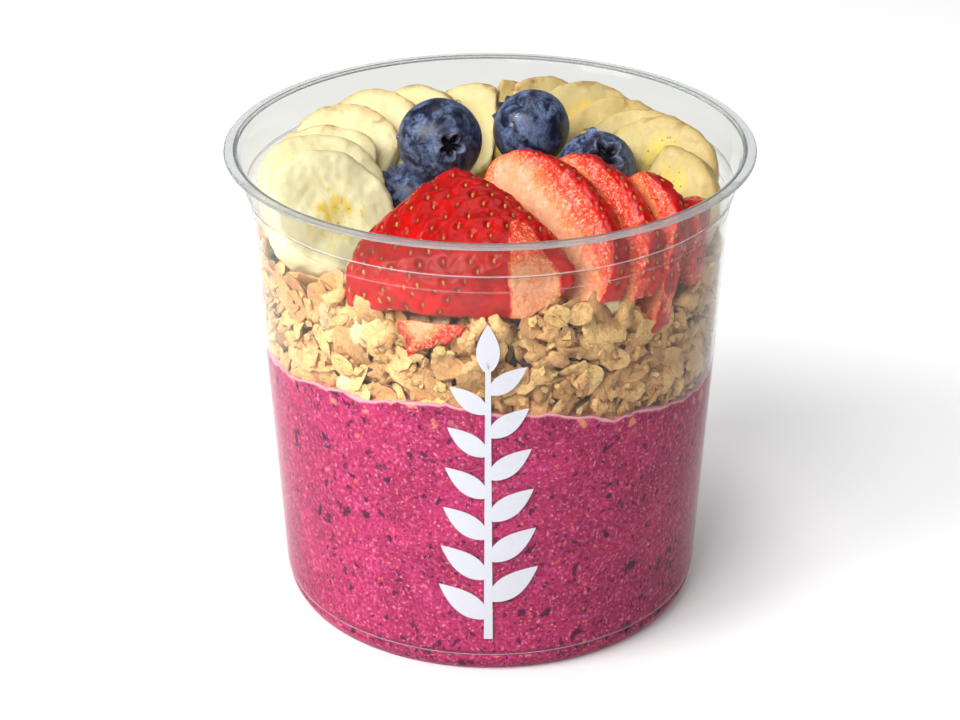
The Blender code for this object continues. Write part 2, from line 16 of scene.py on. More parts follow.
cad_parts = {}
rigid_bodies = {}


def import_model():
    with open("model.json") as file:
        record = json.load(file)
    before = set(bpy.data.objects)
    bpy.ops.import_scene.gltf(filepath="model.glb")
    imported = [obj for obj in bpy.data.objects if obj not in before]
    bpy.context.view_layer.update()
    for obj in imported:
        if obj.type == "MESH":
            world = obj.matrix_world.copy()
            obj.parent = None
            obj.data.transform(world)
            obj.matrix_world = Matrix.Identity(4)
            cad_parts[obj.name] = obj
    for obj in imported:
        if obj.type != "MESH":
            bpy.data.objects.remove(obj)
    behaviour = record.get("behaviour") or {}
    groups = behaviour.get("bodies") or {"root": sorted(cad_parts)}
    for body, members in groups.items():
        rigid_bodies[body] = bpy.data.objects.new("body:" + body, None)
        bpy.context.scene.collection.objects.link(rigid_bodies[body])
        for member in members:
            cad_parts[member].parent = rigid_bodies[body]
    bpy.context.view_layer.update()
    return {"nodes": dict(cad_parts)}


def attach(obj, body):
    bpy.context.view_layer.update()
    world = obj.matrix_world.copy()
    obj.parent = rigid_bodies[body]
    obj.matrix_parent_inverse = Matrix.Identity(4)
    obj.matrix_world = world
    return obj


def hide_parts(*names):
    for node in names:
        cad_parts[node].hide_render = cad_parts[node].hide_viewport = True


bl_info = {
    "name": "Acai Bowl",
    "version": (1, 0, 0),
    "blender": (4, 5, 0),
    "location": "3D View > Sidebar > Acai Bowl",
    "description": "Builds an acai bowl in a clear cup around its packed solids",
    "category": "Add Mesh",
}

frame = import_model()
UP = Vector((0.0, 0.0, 1.0))

# Cup, as the solid has it. A pair is a radius and its height
CUP_HEIGHT = 0.108
RIM_RADIUS = 0.0585
MOUTH_RADIUS = 0.0555
NECK_TOP = (0.0552, 0.1055)
NECK_FOOT = (0.0539, 0.0984)
LEDGE = (0.0532, 0.0972)
SHOULDER = (0.0527, 0.088)
HEEL = (0.0481, 0.009)
FOOT_RADIUS = 0.0446
WALL = 0.0005
# The solid's steps round, and the gap between its wall and the food
SOLID_STEPS = 48
GAP = 0.0003

# Cup, as it is drawn: its steps round, up the heel, up the taper and round the rim's section, and how
# far it rounds its corners
CUP_STEPS = 192
HEEL_STEPS = 32
TAPER_STEPS = 6
RIM_STEPS = 20
CORNER = 0.0001
LEDGE_ROUND = 0.0004
NECK_ROUND = 0.0005
# The rolled rim is drawn thinner than the solid's: its height, how far the wall runs into it, and how
# square its section is
RIM_HEIGHT = 0.0008
RIM_REACH = 0.0004
RIM_SQUARENESS = 3

# Groove round the heel, and the fine lines round rim, ledge and heel, pale ones as painted highlights and
# dark ones as painted shade, as radius, height and thickness
CREASE_HEIGHT = 0.0046
CREASE_DEPTH = 0.00055
CREASE_WIDTH = 0.0006
HIGHLIGHT_LINES = ((0.05414, 0.0997, 0.00012), (0.05315, 0.0957, 0.00005), (0.04762, 0.0052, 0.00006))
SHADE_LINES = ((0.05635, 0.1080, 0.00010), (0.05405, 0.0993, 0.00005), (0.04712, 0.0046, 0.00008))
HIGHLIGHT_LINE_TINT = (0.90, 0.84, 0.86)
SHADE_LINE_TINT = (0.30, 0.30, 0.31)

# Sprig on the cup: its foot's height and azimuth, how proud of the cup it is, and its leaves and stem
PRINT_FOOT = 0.0096
PRINT_AZIMUTH = -90.5
PRINT_THICKNESS = 0.00004
LEAF_PAIRS = 6
LEAF_TURN = 52.0
LEAF_WIDTH_SHARE = 0.42
STEM_WIDTH = 0.0017

# Levels of the acai and the granola along the wall, as azimuth in degrees and height
ACAI_LEVELS = (
    (-158, 0.0628), (-130, 0.0662), (-103, 0.0688), (-80, 0.0664), (-56, 0.0618), (-28, 0.0583),
    (10, 0.0602), (60, 0.0640), (110, 0.0616), (160, 0.0634),
)
ACAI_MIDDLE = 0.0655
GRANOLA_LEVELS = (
    (-170, 0.0825), (-156, 0.0825), (-132, 0.0872), (-108, 0.0850), (-76, 0.0868), (-60, 0.0868),
    (-44, 0.0785), (-30, 0.0815), (-14, 0.0860), (40, 0.0840), (90, 0.0830), (140, 0.0840),
)

# Acai, as it is drawn: how far into the wall it reaches, its steps up and round, the rings of its top as
# shares of its radius, and the small waves of its level as length and height
ACAI_REACH = 0.7 * WALL
ACAI_STEPS = 30
ACAI_SEGMENTS = 240
ACAI_TOP_RINGS = (0.995, 0.98, 0.95, 0.9, 0.8, 0.7, 0.55, 0.4, 0.25, 0.1)
LEVEL_WAVES = ((0.006, 0.0011), (0.0018, 0.0007))
# Its top dips just inside the wall, by this depth and over this share of its radius
DIP_DEPTH = 0.0008
DIP_SHARE = 0.05
# Specks in the acai: spacing, radius as a share of it, rarity, strength and colour
ACAI_SPECKS = (
    (0.0009, 0.32, 0.55, 0.50, (0.92, 0.34, 0.46)),
    (0.0015, 0.28, 0.66, 0.50, (0.90, 0.20, 0.10)),
    (0.0052, 0.23, 0.66, 0.88, (0.028, 0.007, 0.028)),
    (0.0032, 0.27, 0.54, 0.85, (0.038, 0.009, 0.034)),
    (0.0020, 0.29, 0.48, 0.80, (0.060, 0.009, 0.040)),
    (0.0012, 0.32, 0.46, 0.70, (0.090, 0.010, 0.046)),
    (0.0007, 0.34, 0.56, 0.45, (0.140, 0.013, 0.065)),
)
# Spacing of the pale flecks and of the oat that shows just below the top
FLECK_SPACING = 0.0038

# Granola: ranges of length, width and thickness of its kinds, as shares of a usual flake's length
OAT_SHARES = ((0.85, 1.20), (0.60, 0.85), (0.11, 0.16))
CLUSTER_SHARES = ((0.55, 0.85), (0.45, 0.65), (0.32, 0.48))
NUT_SHARES = ((0.95, 1.15), (0.62, 0.75), (0.34, 0.44))
CRUMB_SIZE = (0.0026, 0.0020, 0.0013)
# How many shapes of each kind there are, and the colour of each kind's dark parts
OAT_SHAPES = 14
CLUSTER_SHAPES = 8
NUT_SHAPES = 4
CRUMB_SHAPES = 6
OAT_DARK = (0.52, 0.25, 0.08)
CLUSTER_DARK = (0.42, 0.19, 0.055)
NUT_DARK = (0.66, 0.42, 0.20)
CRUMB_DARK = (0.45, 0.22, 0.07)
# Ranges of an oat flake's curl and of the groove along it
OAT_CURL = (-0.3, 0.4)
OAT_GROOVE = (0.12, 0.24)
# Where oats, clusters and nuts end in the shuffled places at the wall
WALL_SHARES = (0.68, 0.92, 0.94)
# Layers of flakes at the wall: depth behind it, and how far the flakes lean
WALL_LAYERS = ((0.0008, 0.50), (0.0028, 0.9), (0.0046, 1.2))
# Their radius, and the spacing of rows as a share of that in a row
WALL_LAYER_RADIUS = 0.052
ROW_SPACING_SHARE = 0.82
# Places that are tried for flakes on top, within a radius, and for crumbs at the wall
TOP_TRIES = 520
TOP_RADIUS = 0.046
CRUMB_TRIES = 900
# The heart, coloured near black as painted shade in the gaps between flakes: how fine its mesh is,
# how far it lies below the solid's face, and its noise's size and strength
HEART_VOXEL = 0.0009
HEART_SHRINK = 0.0010
HEART_RUFFLE = (0.0022, 0.0009)
# Gap between the granola and the wall
WALL_CLEARANCE = 0.00005
# Nuts that lie against the wall: azimuth, height and lean
NUTS = ((-133.0, 0.0838, 75.0), (-122.5, 0.0818, 92.0))
NUT_INSET = 0.0018

# Banana: each run's azimuths, the slices' radius, the ring's radius, and how much the slices look
# counterclockwise, inwards and up
BANANA_RUNS = (
    ((198.0, 183.0, 168.0, 153.0, 137.0, 120.0), 0.0150, 0.0372, (0.72, 0.20, 0.60)),
    ((98.0,), 0.0132, 0.0365, (0.42, 0.52, 0.70)),
    ((81.0, 68.0, 54.0, 40.0, 25.0, 10.0, -7.0), 0.0150, 0.0372, (-0.72, 0.42, 0.60)),
)
BANANA_HEIGHT = 0.0942
BANANA_HEIGHT_WAVE = 0.0010
BANANA_VOXEL = 0.0006
# Soft noise on a fruit's surface, as size and strength
BANANA_RUFFLES = ((0.0060, 0.0006), (0.0016, 0.00016))
STRAWBERRY_RUFFLES = ((0.0050, 0.0006), (0.0011, 0.00022))
# How far each slice and its edges are darkened from cream to tan as painted shade, in the same order
BANANA_SHADE_AMOUNTS = (0.0, 0.12, 0.28, 0.36, 0.45, 0.50, 0.60, 0.90, 0.85, 0.80, 1.0, 0.90, 1.0, 1.0)
# The right run's hearts lie towards the part of each slice that stands free
FIRST_SHIFTED_SLICE = 7
HEART_SHIFT = 0.42

# Blueberries: centre, radius, the way the crown looks, and the crown's reach in radians
BLUEBERRIES = (
    ((-0.0112, 0.0035, 0.1068), 0.0094, (0.29, -0.94, 0.20), 0.27),
    ((0.0092, 0.0110, 0.1068), 0.0088, (-0.75, 0.51, 0.36), 0.24),
    ((0.0236, -0.0005, 0.1012), 0.0089, (0.22, -0.66, 0.72), 0.38),
    ((-0.0178, 0.0085, 0.0912), 0.0080, (-0.60, -0.10, 0.60), 0.25),
)
# Height of a berry as a share of its width, and the crown's points, the width of its edge and its depth
BERRY_FLATNESS = 0.95
CROWN_POINTS = 5
CROWN_EDGE = 0.055
CROWN_DEPTH = 0.0019

# Strawberry slices: crest, toe, the way the cut face looks, width and depth of the whole berry, how its
# width runs from toe to crest, and how red the cut face is
STRAWBERRIES = (
    ((-0.0075, -0.0205, 0.1100), (-0.0080, -0.0600, 0.0770), (-0.20, -0.66, 0.72), 0.054, 0.022,
     (0.72, 0.75), 0.0),
    ((0.0030, -0.0100, 0.1079), (0.0226, -0.0505, 0.0832), (-0.62, -0.45, 0.64), 0.032, 0.040,
     (0.90, 0.50), 0.0),
    ((0.0160, -0.0122, 0.1088), (0.0314, -0.0449, 0.0831), (-0.66, -0.38, 0.64), 0.027, 0.036,
     (0.90, 0.50), 0.14),
    ((0.0316, -0.0211, 0.1095), (0.0398, -0.0397, 0.0793), (-0.70, -0.34, 0.62), 0.022, 0.030,
     (0.90, 0.55), 0.24),
    ((0.0421, -0.0202, 0.1033), (0.0468, -0.0272, 0.0850), (-0.70, -0.30, 0.64), 0.020, 0.024,
     (0.90, 0.50), 0.34),
    ((-0.0095, -0.0490, 0.0975), (-0.0180, -0.0500, 0.0785), (-0.25, -0.95, 0.05), 0.019, 0.038,
     (1.35, 0.90), 0.20),
)
STRAWBERRY_VOXEL = 0.00045
# How much redder a cut face gets towards one side
RIPER_SIDE = 0.22
# Depth over which the wall presses a slice in
PRESS_DEPTH = 0.0030
# The first slice shows its skin all over but for the cut at its stem: the cut's left edge, and its right
# edge as places across and heights
STEM_CUT_LEFT = 0.0036
STEM_CUT_RIGHT = ((0.0150, 0.0872), (0.0148, 0.0965), (0.0105, 0.1030), (0.0040, 0.1085))
STEM_CUT_BACK = -0.0390
STEM_CUT_EDGE = 0.0009
STEM_CUT_RAGGED = 0.0011
# The cut is pale at the wall, and mottled red above this height
STEM_CUT_REACH = 0.30
STEM_CUT_RED = 0.0990
# Seeds: the rows' spacing as a share of that in a row, how near the skin a seed's place lies, the depth
# of its pit, the height of the pit's edge, and how far it sinks
SEED_ROW_SHARE = 0.80
SEED_NEARNESS = 0.0007
PIT_DEPTH = 0.00055
PIT_EDGE = 0.00010
SEED_SINK = 0.00036
# A seed's width and thickness, as shares of its length
SEED_WIDTH_SHARE = 0.68
SEED_THICKNESS_SHARE = 0.40

# Drops: a point near the fruit that each one clings to, and its radius
DROPS = (
    ((0.0030, 0.0300, 0.1120), 0.0013), ((0.0180, 0.0200, 0.1090), 0.0012),
    ((0.0200, 0.0060, 0.1120), 0.0010), ((0.0225, 0.0010, 0.1100), 0.0012),
    ((0.0060, 0.0045, 0.1120), 0.0009), ((0.0040, 0.0030, 0.1110), 0.0007),
    ((-0.0070, 0.0090, 0.1140), 0.0009), ((-0.0180, 0.0020, 0.1080), 0.0007),
)
# Height of a drop as a share of its width, and how far its centre lies off the fruit, in radii
DROP_FLATNESS = 0.75
DROP_LIFT_SHARE = 0.15

# Camera, fitted to the cup's outline, for a frame of 960 x 720
FRAME_WIDTH = 960.0
FOCAL_PIXELS = 2610.0
CAMERA_ELEVATION = 26.54
CAMERA_DISTANCE = 0.6
CAMERA_TARGET = (0.0, 0.0, 0.050)
CAMERA_SHIFT_PIXELS = (-10.2, 17.1)
SENSOR_WIDTH = 36.0

# Floor: its size, its height, its glow close to the cup and far from it, the weaker glow close to the cup
# being a painted shadow, and where the far glow starts
FLOOR_SIZE = 6.0
FLOOR_HEIGHT = -0.0002
FLOOR_GLOWS = (0.14, 0.38)
FLOOR_GLOW_REACH = 0.090
# Lights: name, place, size and power, all turned to one place
LIGHTS = (
    ("key", (-0.85, -0.50, 0.80), 0.55, 11.0),
    ("front", (-0.38, -0.85, 1.00), 0.55, 9.0),
    ("top", (0.05, 0.30, 1.10), 0.70, 2.0),
)
LIGHT_TARGET = (0.0, 0.0, 0.06)
SKY_STRENGTH = 0.12


class AcaiBowlSizes(bpy.types.PropertyGroup):
    """Sizes of the pieces that the solids leave to the looks."""
    print_height: bpy.props.FloatProperty(
        name="Print height", description="Height of the leafy sprig printed on the cup",
        default=0.078, unit="LENGTH")
    print_width: bpy.props.FloatProperty(
        name="Print width", description="Width of the sprig across its leaves",
        default=0.024, unit="LENGTH")
    flake_length: bpy.props.FloatProperty(
        name="Flake length", description="Length of a usual oat flake",
        default=0.0080, unit="LENGTH")
    flake_spacing: bpy.props.FloatProperty(
        name="Flake spacing", description="Distance between flakes of one layer along the wall",
        default=0.0054, unit="LENGTH")
    seed_length: bpy.props.FloatProperty(
        name="Seed length", description="Length of a strawberry seed",
        default=0.0013, unit="LENGTH")
    seed_spacing: bpy.props.FloatProperty(
        name="Seed spacing", description="Distance between strawberry seeds",
        default=0.0037, unit="LENGTH")


class AcaiBowlColours(bpy.types.PropertyGroup):
    """Main colours, as linear values."""
    puree: bpy.props.FloatVectorProperty(
        name="Puree", description="Acai puree", subtype="COLOR", default=(0.375, 0.022, 0.102))
    oat: bpy.props.FloatVectorProperty(
        name="Oat", description="Toasted oat flakes", subtype="COLOR", default=(1.0, 0.50, 0.205))
    nut: bpy.props.FloatVectorProperty(
        name="Nut", description="Pale nut pieces", subtype="COLOR", default=(0.88, 0.66, 0.38))
    banana: bpy.props.FloatVectorProperty(
        name="Banana", description="Banana flesh", subtype="COLOR", default=(1.0, 0.93, 0.57))
    banana_heart: bpy.props.FloatVectorProperty(
        name="Banana heart", description="Yellow middle of a slice", subtype="COLOR",
        default=(0.90, 0.66, 0.08))
    berry_skin: bpy.props.FloatVectorProperty(
        name="Blueberry skin", description="Skin where the bloom is rubbed off", subtype="COLOR",
        default=(0.008, 0.010, 0.030))
    berry_bloom: bpy.props.FloatVectorProperty(
        name="Blueberry bloom", description="Pale dust on the skin", subtype="COLOR",
        default=(0.16, 0.22, 0.40))
    strawberry_skin: bpy.props.FloatVectorProperty(
        name="Strawberry skin", description="Ripe skin", subtype="COLOR",
        default=(0.56, 0.004, 0.003))
    strawberry_flesh: bpy.props.FloatVectorProperty(
        name="Strawberry flesh", description="Pale middle of a cut face", subtype="COLOR",
        default=(0.94, 0.40, 0.21))
    seed: bpy.props.FloatVectorProperty(
        name="Seed", description="Strawberry seed", subtype="COLOR", default=(0.50, 0.24, 0.045))


def deselect_all():
    if bpy.context.object and bpy.context.object.mode != "OBJECT":
        bpy.ops.object.mode_set(mode="OBJECT")
    bpy.ops.object.select_all(action="DESELECT")


def activate(piece):
    deselect_all()
    piece.select_set(True)
    bpy.context.view_layer.objects.active = piece


def edit_mode(piece):
    activate(piece)
    bpy.ops.object.mode_set(mode="EDIT")
    bpy.ops.mesh.select_all(action="SELECT")


def object_mode():
    bpy.ops.object.mode_set(mode="OBJECT")


def name_piece(name):
    """Name the object that was just added, and return it."""
    piece = bpy.context.object
    piece.name = name
    piece.data.name = name
    return piece


def apply_place(piece):
    activate(piece)
    bpy.ops.object.transform_apply(location=True, rotation=True, scale=True)


def apply_modifier(piece, kind, **settings):
    activate(piece)
    modifier = piece.modifiers.new(kind.title(), kind)
    for key, value in settings.items():
        setattr(modifier, key, value)
    bpy.ops.object.modifier_apply(modifier=modifier.name)


def smooth_shade(piece, angle=None):
    activate(piece)
    if angle is None:
        bpy.ops.object.shade_smooth()
    else:
        bpy.ops.object.shade_smooth_by_angle(angle=math.radians(angle))


def points_of(piece):
    points = np.empty(len(piece.data.vertices) * 3)
    piece.data.vertices.foreach_get("co", points)
    return points.reshape(-1, 3)


def move_points(piece, points):
    piece.data.vertices.foreach_set("co", points.astype(np.float32).ravel())
    piece.data.update()


def normals_of(piece):
    return np.array([vertex.normal for vertex in piece.data.vertices])


def store(piece, name, values):
    """Keep a number or a vector for each point of a piece, for its material to read."""
    kind = "FLOAT" if values.ndim == 1 else "FLOAT_VECTOR"
    attribute = piece.data.attributes.new(name, kind, "POINT")
    key = "value" if values.ndim == 1 else "vector"
    attribute.data.foreach_set(key, values.astype(np.float32).ravel())


def dress(piece, material, slot, *nodes):
    """Give a piece its material, and let it stand for solids and ride on the bowl. The slot is not used."""
    piece.data.materials.clear()
    piece.data.materials.append(material)
    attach(piece, "root")
    if nodes:
        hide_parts(*nodes)


def solid_copy(node, name):
    """A closed copy of a solid, ready to be refined."""
    piece = frame["nodes"][node].copy()
    piece.data = frame["nodes"][node].data.copy()
    piece.name = name
    piece.data.name = name
    piece.parent = None
    for key in list(piece.keys()):
        del piece[key]
    bpy.context.scene.collection.objects.link(piece)
    edit_mode(piece)
    bpy.ops.mesh.remove_doubles(threshold=0.00001)
    object_mode()
    return piece


def soften(piece, voxel, rounds):
    """An even fine mesh over a solid, with its edges rounded."""
    apply_modifier(piece, "REMESH", mode="VOXEL", voxel_size=voxel)
    apply_modifier(piece, "SMOOTH", factor=0.5, iterations=rounds)


def ruffle(piece, size, strength, seed):
    """Move points along their normals by soft noise."""
    points = points_of(piece)
    normals = normals_of(piece)
    shift = Vector((seed * 1.37, seed * 0.61, seed * 2.11))
    heights = np.array([noise.noise(Vector(p) / size + shift) for p in points])
    move_points(piece, points + normals * (heights * strength)[:, None])


def face_outwards(piece):
    edit_mode(piece)
    bpy.ops.mesh.normals_make_consistent(inside=False)
    object_mode()


def joined(pieces, name):
    """The pieces joined into one, under a name."""
    activate(pieces[0])
    for piece in pieces:
        piece.select_set(True)
    bpy.ops.object.join()
    return name_piece(name)


def search_tree(mesh):
    """A tree that finds the nearest place on a mesh."""
    return BVHTree.FromPolygons([v.co for v in mesh.vertices], [tuple(p.vertices) for p in mesh.polygons])


def drawn_up(name, rings, steps):
    """A round closed piece drawn from a circle, ring by ring, each with a radius and a height."""
    deselect_all()
    radius, height = rings[0]
    bpy.ops.mesh.primitive_circle_add(vertices=steps, radius=radius, location=(0.0, 0.0, height))
    piece = name_piece(name)
    apply_place(piece)
    edit_mode(piece)
    for next_radius, next_height in rings[1:]:
        bpy.ops.mesh.extrude_region_move(
            TRANSFORM_OT_translate={"value": (0.0, 0.0, next_height - height)})
        scale = next_radius / radius
        bpy.ops.transform.resize(value=(scale, scale, 1.0), center_override=(0.0, 0.0, next_height))
        radius, height = next_radius, next_height
    close_ring()
    for vertex in piece.data.vertices:
        vertex.select = vertex.index < steps
    for edge in piece.data.edges:
        edge.select = all(index < steps for index in edge.vertices)
    bpy.ops.object.mode_set(mode="EDIT")
    close_ring()
    face_outwards(piece)
    return piece


def close_ring():
    """Draw the selected ring together into a pole, and leave edit mode."""
    bpy.ops.mesh.extrude_region_move()
    bpy.ops.mesh.merge(type="CENTER")
    object_mode()


def smooth_step(share):
    share = min(1.0, max(0.0, share))
    return share * share * (3.0 - 2.0 * share)


def level_at(azimuth, levels):
    """A smooth wave round the cup through the given azimuths and heights."""
    azimuth = (azimuth + 180.0) % 360.0 - 180.0
    knots = [(a - 360.0, z) for a, z in levels] + list(levels) + [(a + 360.0, z) for a, z in levels]
    for (a0, z0), (a1, z1) in zip(knots, knots[1:]):
        if a0 <= azimuth < a1:
            return z0 + smooth_step((azimuth - a0) / (a1 - a0)) * (z1 - z0)
    raise ValueError("azimuth outside the knots")


def azimuth_of(x, y):
    return math.degrees(math.atan2(y, x))


def outer_radius(height):
    """The cup's outer radius on its long taper."""
    share = (height - HEEL[1]) / (SHOULDER[1] - HEEL[1])
    return HEEL[0] + share * (SHOULDER[0] - HEEL[0])


def room_radius(height):
    """How far out the fruit and the granola reach."""
    return (outer_radius(height) - WALL) * math.cos(math.pi / SOLID_STEPS) - GAP


def heel_arc(inset):
    """The rounded corner between the base and the wall, from the foot up."""
    points = []
    for i in range(HEEL_STEPS + 1):
        turn = 0.5 * math.pi * (1.0 - i / HEEL_STEPS)
        z = HEEL[1] * (1.0 - math.sin(turn))
        groove = CREASE_DEPTH * math.exp(-((z - CREASE_HEIGHT) / CREASE_WIDTH) ** 2)
        r = FOOT_RADIUS + (HEEL[0] - FOOT_RADIUS) * math.cos(turn) - groove
        points.append((r - inset * math.cos(turn), z + inset * math.sin(turn)))
    return points


SOCKETS = {
    "colour": "Base Color", "ior": "IOR", "clear": "Transmission Weight",
    "soft": "Subsurface Weight", "soft_scale": "Subsurface Scale", "soft_radius": "Subsurface Radius",
    "glow_colour": "Emission Color", "gloss": "Specular IOR Level",
}


class Finish:
    """A material that is built node by node around one Principled shader."""

    def __init__(self, name, roughness, **sockets):
        self.material = bpy.data.materials.new(name)
        self.material.use_nodes = True
        self.tree = self.material.node_tree
        self.shader = self.tree.nodes["Principled BSDF"]
        self.output = self.tree.nodes["Material Output"]
        self.shader.inputs["Roughness"].default_value = roughness
        for key, value in sockets.items():
            self.shader.inputs[SOCKETS[key]].default_value = value

    def add(self, kind, inputs=(), **settings):
        node = self.tree.nodes.new("ShaderNode" + kind)
        for key, value in settings.items():
            setattr(node, key, value)
        for key, value in dict(inputs).items():
            self.set(node.inputs[key], value)
        return node

    def set(self, socket, value):
        if isinstance(value, bpy.types.NodeSocket):
            self.tree.links.new(value, socket)
        elif hasattr(value, "__len__") and socket.type == "RGBA" and len(value) == 3:
            socket.default_value = (*value, 1.0)
        else:
            socket.default_value = value

    def place(self):
        return self.add("TexCoord").outputs["Object"]

    def kept(self, name, output="Fac"):
        return self.add("Attribute", attribute_name=name).outputs[output]

    def stretched(self, vector, scale):
        return self.add("Mapping", {"Vector": vector, "Scale": scale}).outputs["Vector"]

    def noise(self, vector, size, detail, roughness=0.5, distortion=0.0):
        return self.add("TexNoise", {
            "Vector": vector, "Scale": 1.0 / size, "Detail": detail, "Roughness": roughness,
            "Distortion": distortion}).outputs["Fac"]

    def shaken(self, vector, size, amount):
        """Places moved about by noise, which makes the cells drawn from them ragged."""
        shake = self.add("TexNoise", {"Vector": vector, "Scale": 0.6 / size, "Detail": 3.0})
        shake = self.add("VectorMath", {0: shake.outputs["Color"], 1: (0.5, 0.5, 0.5)},
                         operation="SUBTRACT").outputs[0]
        shake = self.add("VectorMath", {0: shake, "Scale": amount * size}, operation="SCALE").outputs[0]
        return self.add("VectorMath", {0: vector, 1: shake}, operation="ADD").outputs[0]

    def cells(self, vector, size, output="Distance"):
        return self.add("TexVoronoi", {"Vector": vector, "Scale": 1.0 / size}).outputs[output]

    def step(self, value, start, end, low=0.0, high=1.0):
        """A smooth ramp of a number from start to end."""
        return self.add("MapRange", {
            "Value": value, "From Min": start, "From Max": end, "To Min": low, "To Max": high},
            interpolation_type="SMOOTHSTEP").outputs["Result"]

    def maths(self, operation, first, second=0.5):
        return self.add("Math", {0: first, 1: second}, operation=operation).outputs[0]

    def times(self, product, *factors):
        for factor in factors:
            product = self.maths("MULTIPLY", product, factor)
        return product

    def plus(self, first, second):
        return self.maths("ADD", first, second)

    def less(self, first, second):
        return self.maths("SUBTRACT", first, second)

    def blend(self, share, first, second):
        """The first colour, with a share of the second laid over it."""
        node = self.add("Mix", data_type="RGBA")
        self.set(node.inputs["Factor"], share)
        self.set(node.inputs[6], first)
        self.set(node.inputs[7], second)
        return node.outputs[2]

    def bump(self, height, distance, strength, normal=None):
        node = self.add("Bump", {"Height": height, "Distance": distance, "Strength": strength})
        if normal is not None:
            self.set(node.inputs["Normal"], normal)
        return node.outputs["Normal"]

    def wear(self, colour=None, roughness=None, normal=None):
        for key, value in (("Base Color", colour), ("Roughness", roughness), ("Normal", normal)):
            if value is not None:
                self.set(self.shader.inputs[key], value)
        return self.material


def shade(colour, factor):
    return tuple(min(1.0, c * factor) for c in colour)


def clear_finish(name, tint, ior, roughness, clear, lamp_tint):
    """Clear plastic or water, which lets lamps reach what it holds."""
    finish = Finish(name, roughness, colour=(*tint, 1.0), ior=ior, clear=clear)
    passing = finish.add("BsdfTransparent", {"Color": lamp_tint})
    is_lamp = finish.add("LightPath").outputs["Is Shadow Ray"]
    both = finish.add("MixShader", {0: is_lamp, 1: finish.shader.outputs[0], 2: passing.outputs[0]})
    finish.tree.links.new(both.outputs[0], finish.output.inputs["Surface"])
    return finish


def cup_finish():
    finish = clear_finish("Clear cup plastic", (0.78, 0.795, 0.785), 1.15, 0.02, 0.99, (0.93, 0.94, 0.94))
    place = finish.place()
    ripple = finish.noise(finish.stretched(place, (1.0, 1.0, 0.25)), 0.010, 2.0)
    height = finish.add("SeparateXYZ", {0: place}).outputs[2]
    # Painted shade: the plastic above the ledge is tinted darker and greyer than the wall below.
    neck = finish.step(height, LEDGE[1], NECK_FOOT[1])
    colour = finish.blend(neck, (0.86, 0.87, 0.855), (0.755, 0.765, 0.73))
    return finish.wear(colour=colour, normal=finish.bump(ripple, 0.00015, 0.25))


def rim_finish():
    finish = clear_finish("Cup rim plastic", (0.90, 0.91, 0.91), 1.20, 0.12, 0.82, (0.92, 0.93, 0.93))
    patch = finish.noise(finish.stretched(finish.place(), (0.3, 0.3, 3.0)), 0.010, 2.0)
    return finish.wear(colour=finish.blend(patch, (0.66, 0.67, 0.67), (0.77, 0.78, 0.78)))


def line_finish(name, tint):
    """A fine line in the cup's plastic: a painted highlight where an edge catches the light, painted shade
    where it hides it.
    """
    finish = clear_finish(name, tint, 1.20, 0.25, 0.72, (0.9, 0.9, 0.9))
    patch = finish.noise(finish.place(), 0.008, 2.0)
    return finish.wear(colour=finish.blend(patch, shade(tint, 0.85), tint))


def print_finish():
    finish = Finish("White print", 0.45)
    speck = finish.noise(finish.place(), 0.0006, 2.0)
    return finish.wear(colour=finish.blend(speck, (0.60, 0.61, 0.68), (0.68, 0.69, 0.75)))


def puree_finish(puree):
    finish = Finish("Acai puree", 0.50, ior=1.36, gloss=0.12, soft=0.08, soft_scale=0.0015,
                    soft_radius=(1.0, 0.3, 0.5))
    pink, red = (0.68, 0.12, 0.32), (0.70, 0.030, 0.060)
    pale_fleck, oat_fleck, film_tint = (0.80, 0.26, 0.16), (0.80, 0.30, 0.17), (0.85, 0.45, 0.48)
    place = finish.place()
    cloud = finish.noise(place, 0.012, 4.0, 0.6, 0.6)
    grain = finish.noise(place, 0.0009, 3.0, 0.75)
    fleck = finish.noise(place, 0.0005, 2.0, 0.7)
    colour = finish.blend(finish.step(cloud, 0.35, 0.68), shade(puree, 0.80), shade(puree, 1.18))
    colour = finish.blend(finish.step(grain, 0.50, 0.66, 0.0, 0.55), colour, pink)
    colour = finish.blend(finish.step(grain, 0.50, 0.34, 0.0, 0.60), colour, shade(puree, 0.50))
    colour = finish.blend(finish.step(fleck, 0.56, 0.68, 0.0, 0.55), colour, red)
    for size, edge, rarity, amount, tint in ACAI_SPECKS:
        ragged = finish.stretched(finish.shaken(place, size, 2.2), (1.0, 1.0, 0.80))
        tag = finish.add("SeparateColor", {0: finish.cells(ragged, size, "Color")}).outputs[0]
        speck = finish.times(finish.step(finish.cells(ragged, size), edge, 0.6 * edge),
                             finish.step(tag, rarity, rarity + 0.05), amount)
        colour = finish.blend(speck, colour, tint)
    ragged = finish.shaken(place, FLECK_SPACING, 2.0)
    tags = finish.add("SeparateColor", {0: finish.cells(ragged, FLECK_SPACING, "Color")})
    flecks = finish.cells(ragged, FLECK_SPACING)
    pale = finish.times(finish.step(flecks, 0.20, 0.09), finish.step(tags.outputs[1], 0.72, 0.80), 0.60)
    colour = finish.blend(pale, colour, pale_fleck)
    below = finish.kept("below_top")
    oat = finish.times(finish.step(flecks, 0.42, 0.24), finish.step(tags.outputs[2], 0.40, 0.50),
                       finish.step(below, 0.0070, 0.0010, 0.0, 0.8))
    colour = finish.blend(oat, colour, oat_fleck)
    film = finish.step(below, 0.0008, 0.0002, 0.0, 0.75)
    colour = finish.blend(film, colour, film_tint)
    return finish.wear(colour=colour, normal=finish.bump(grain, 0.0002, 0.4))


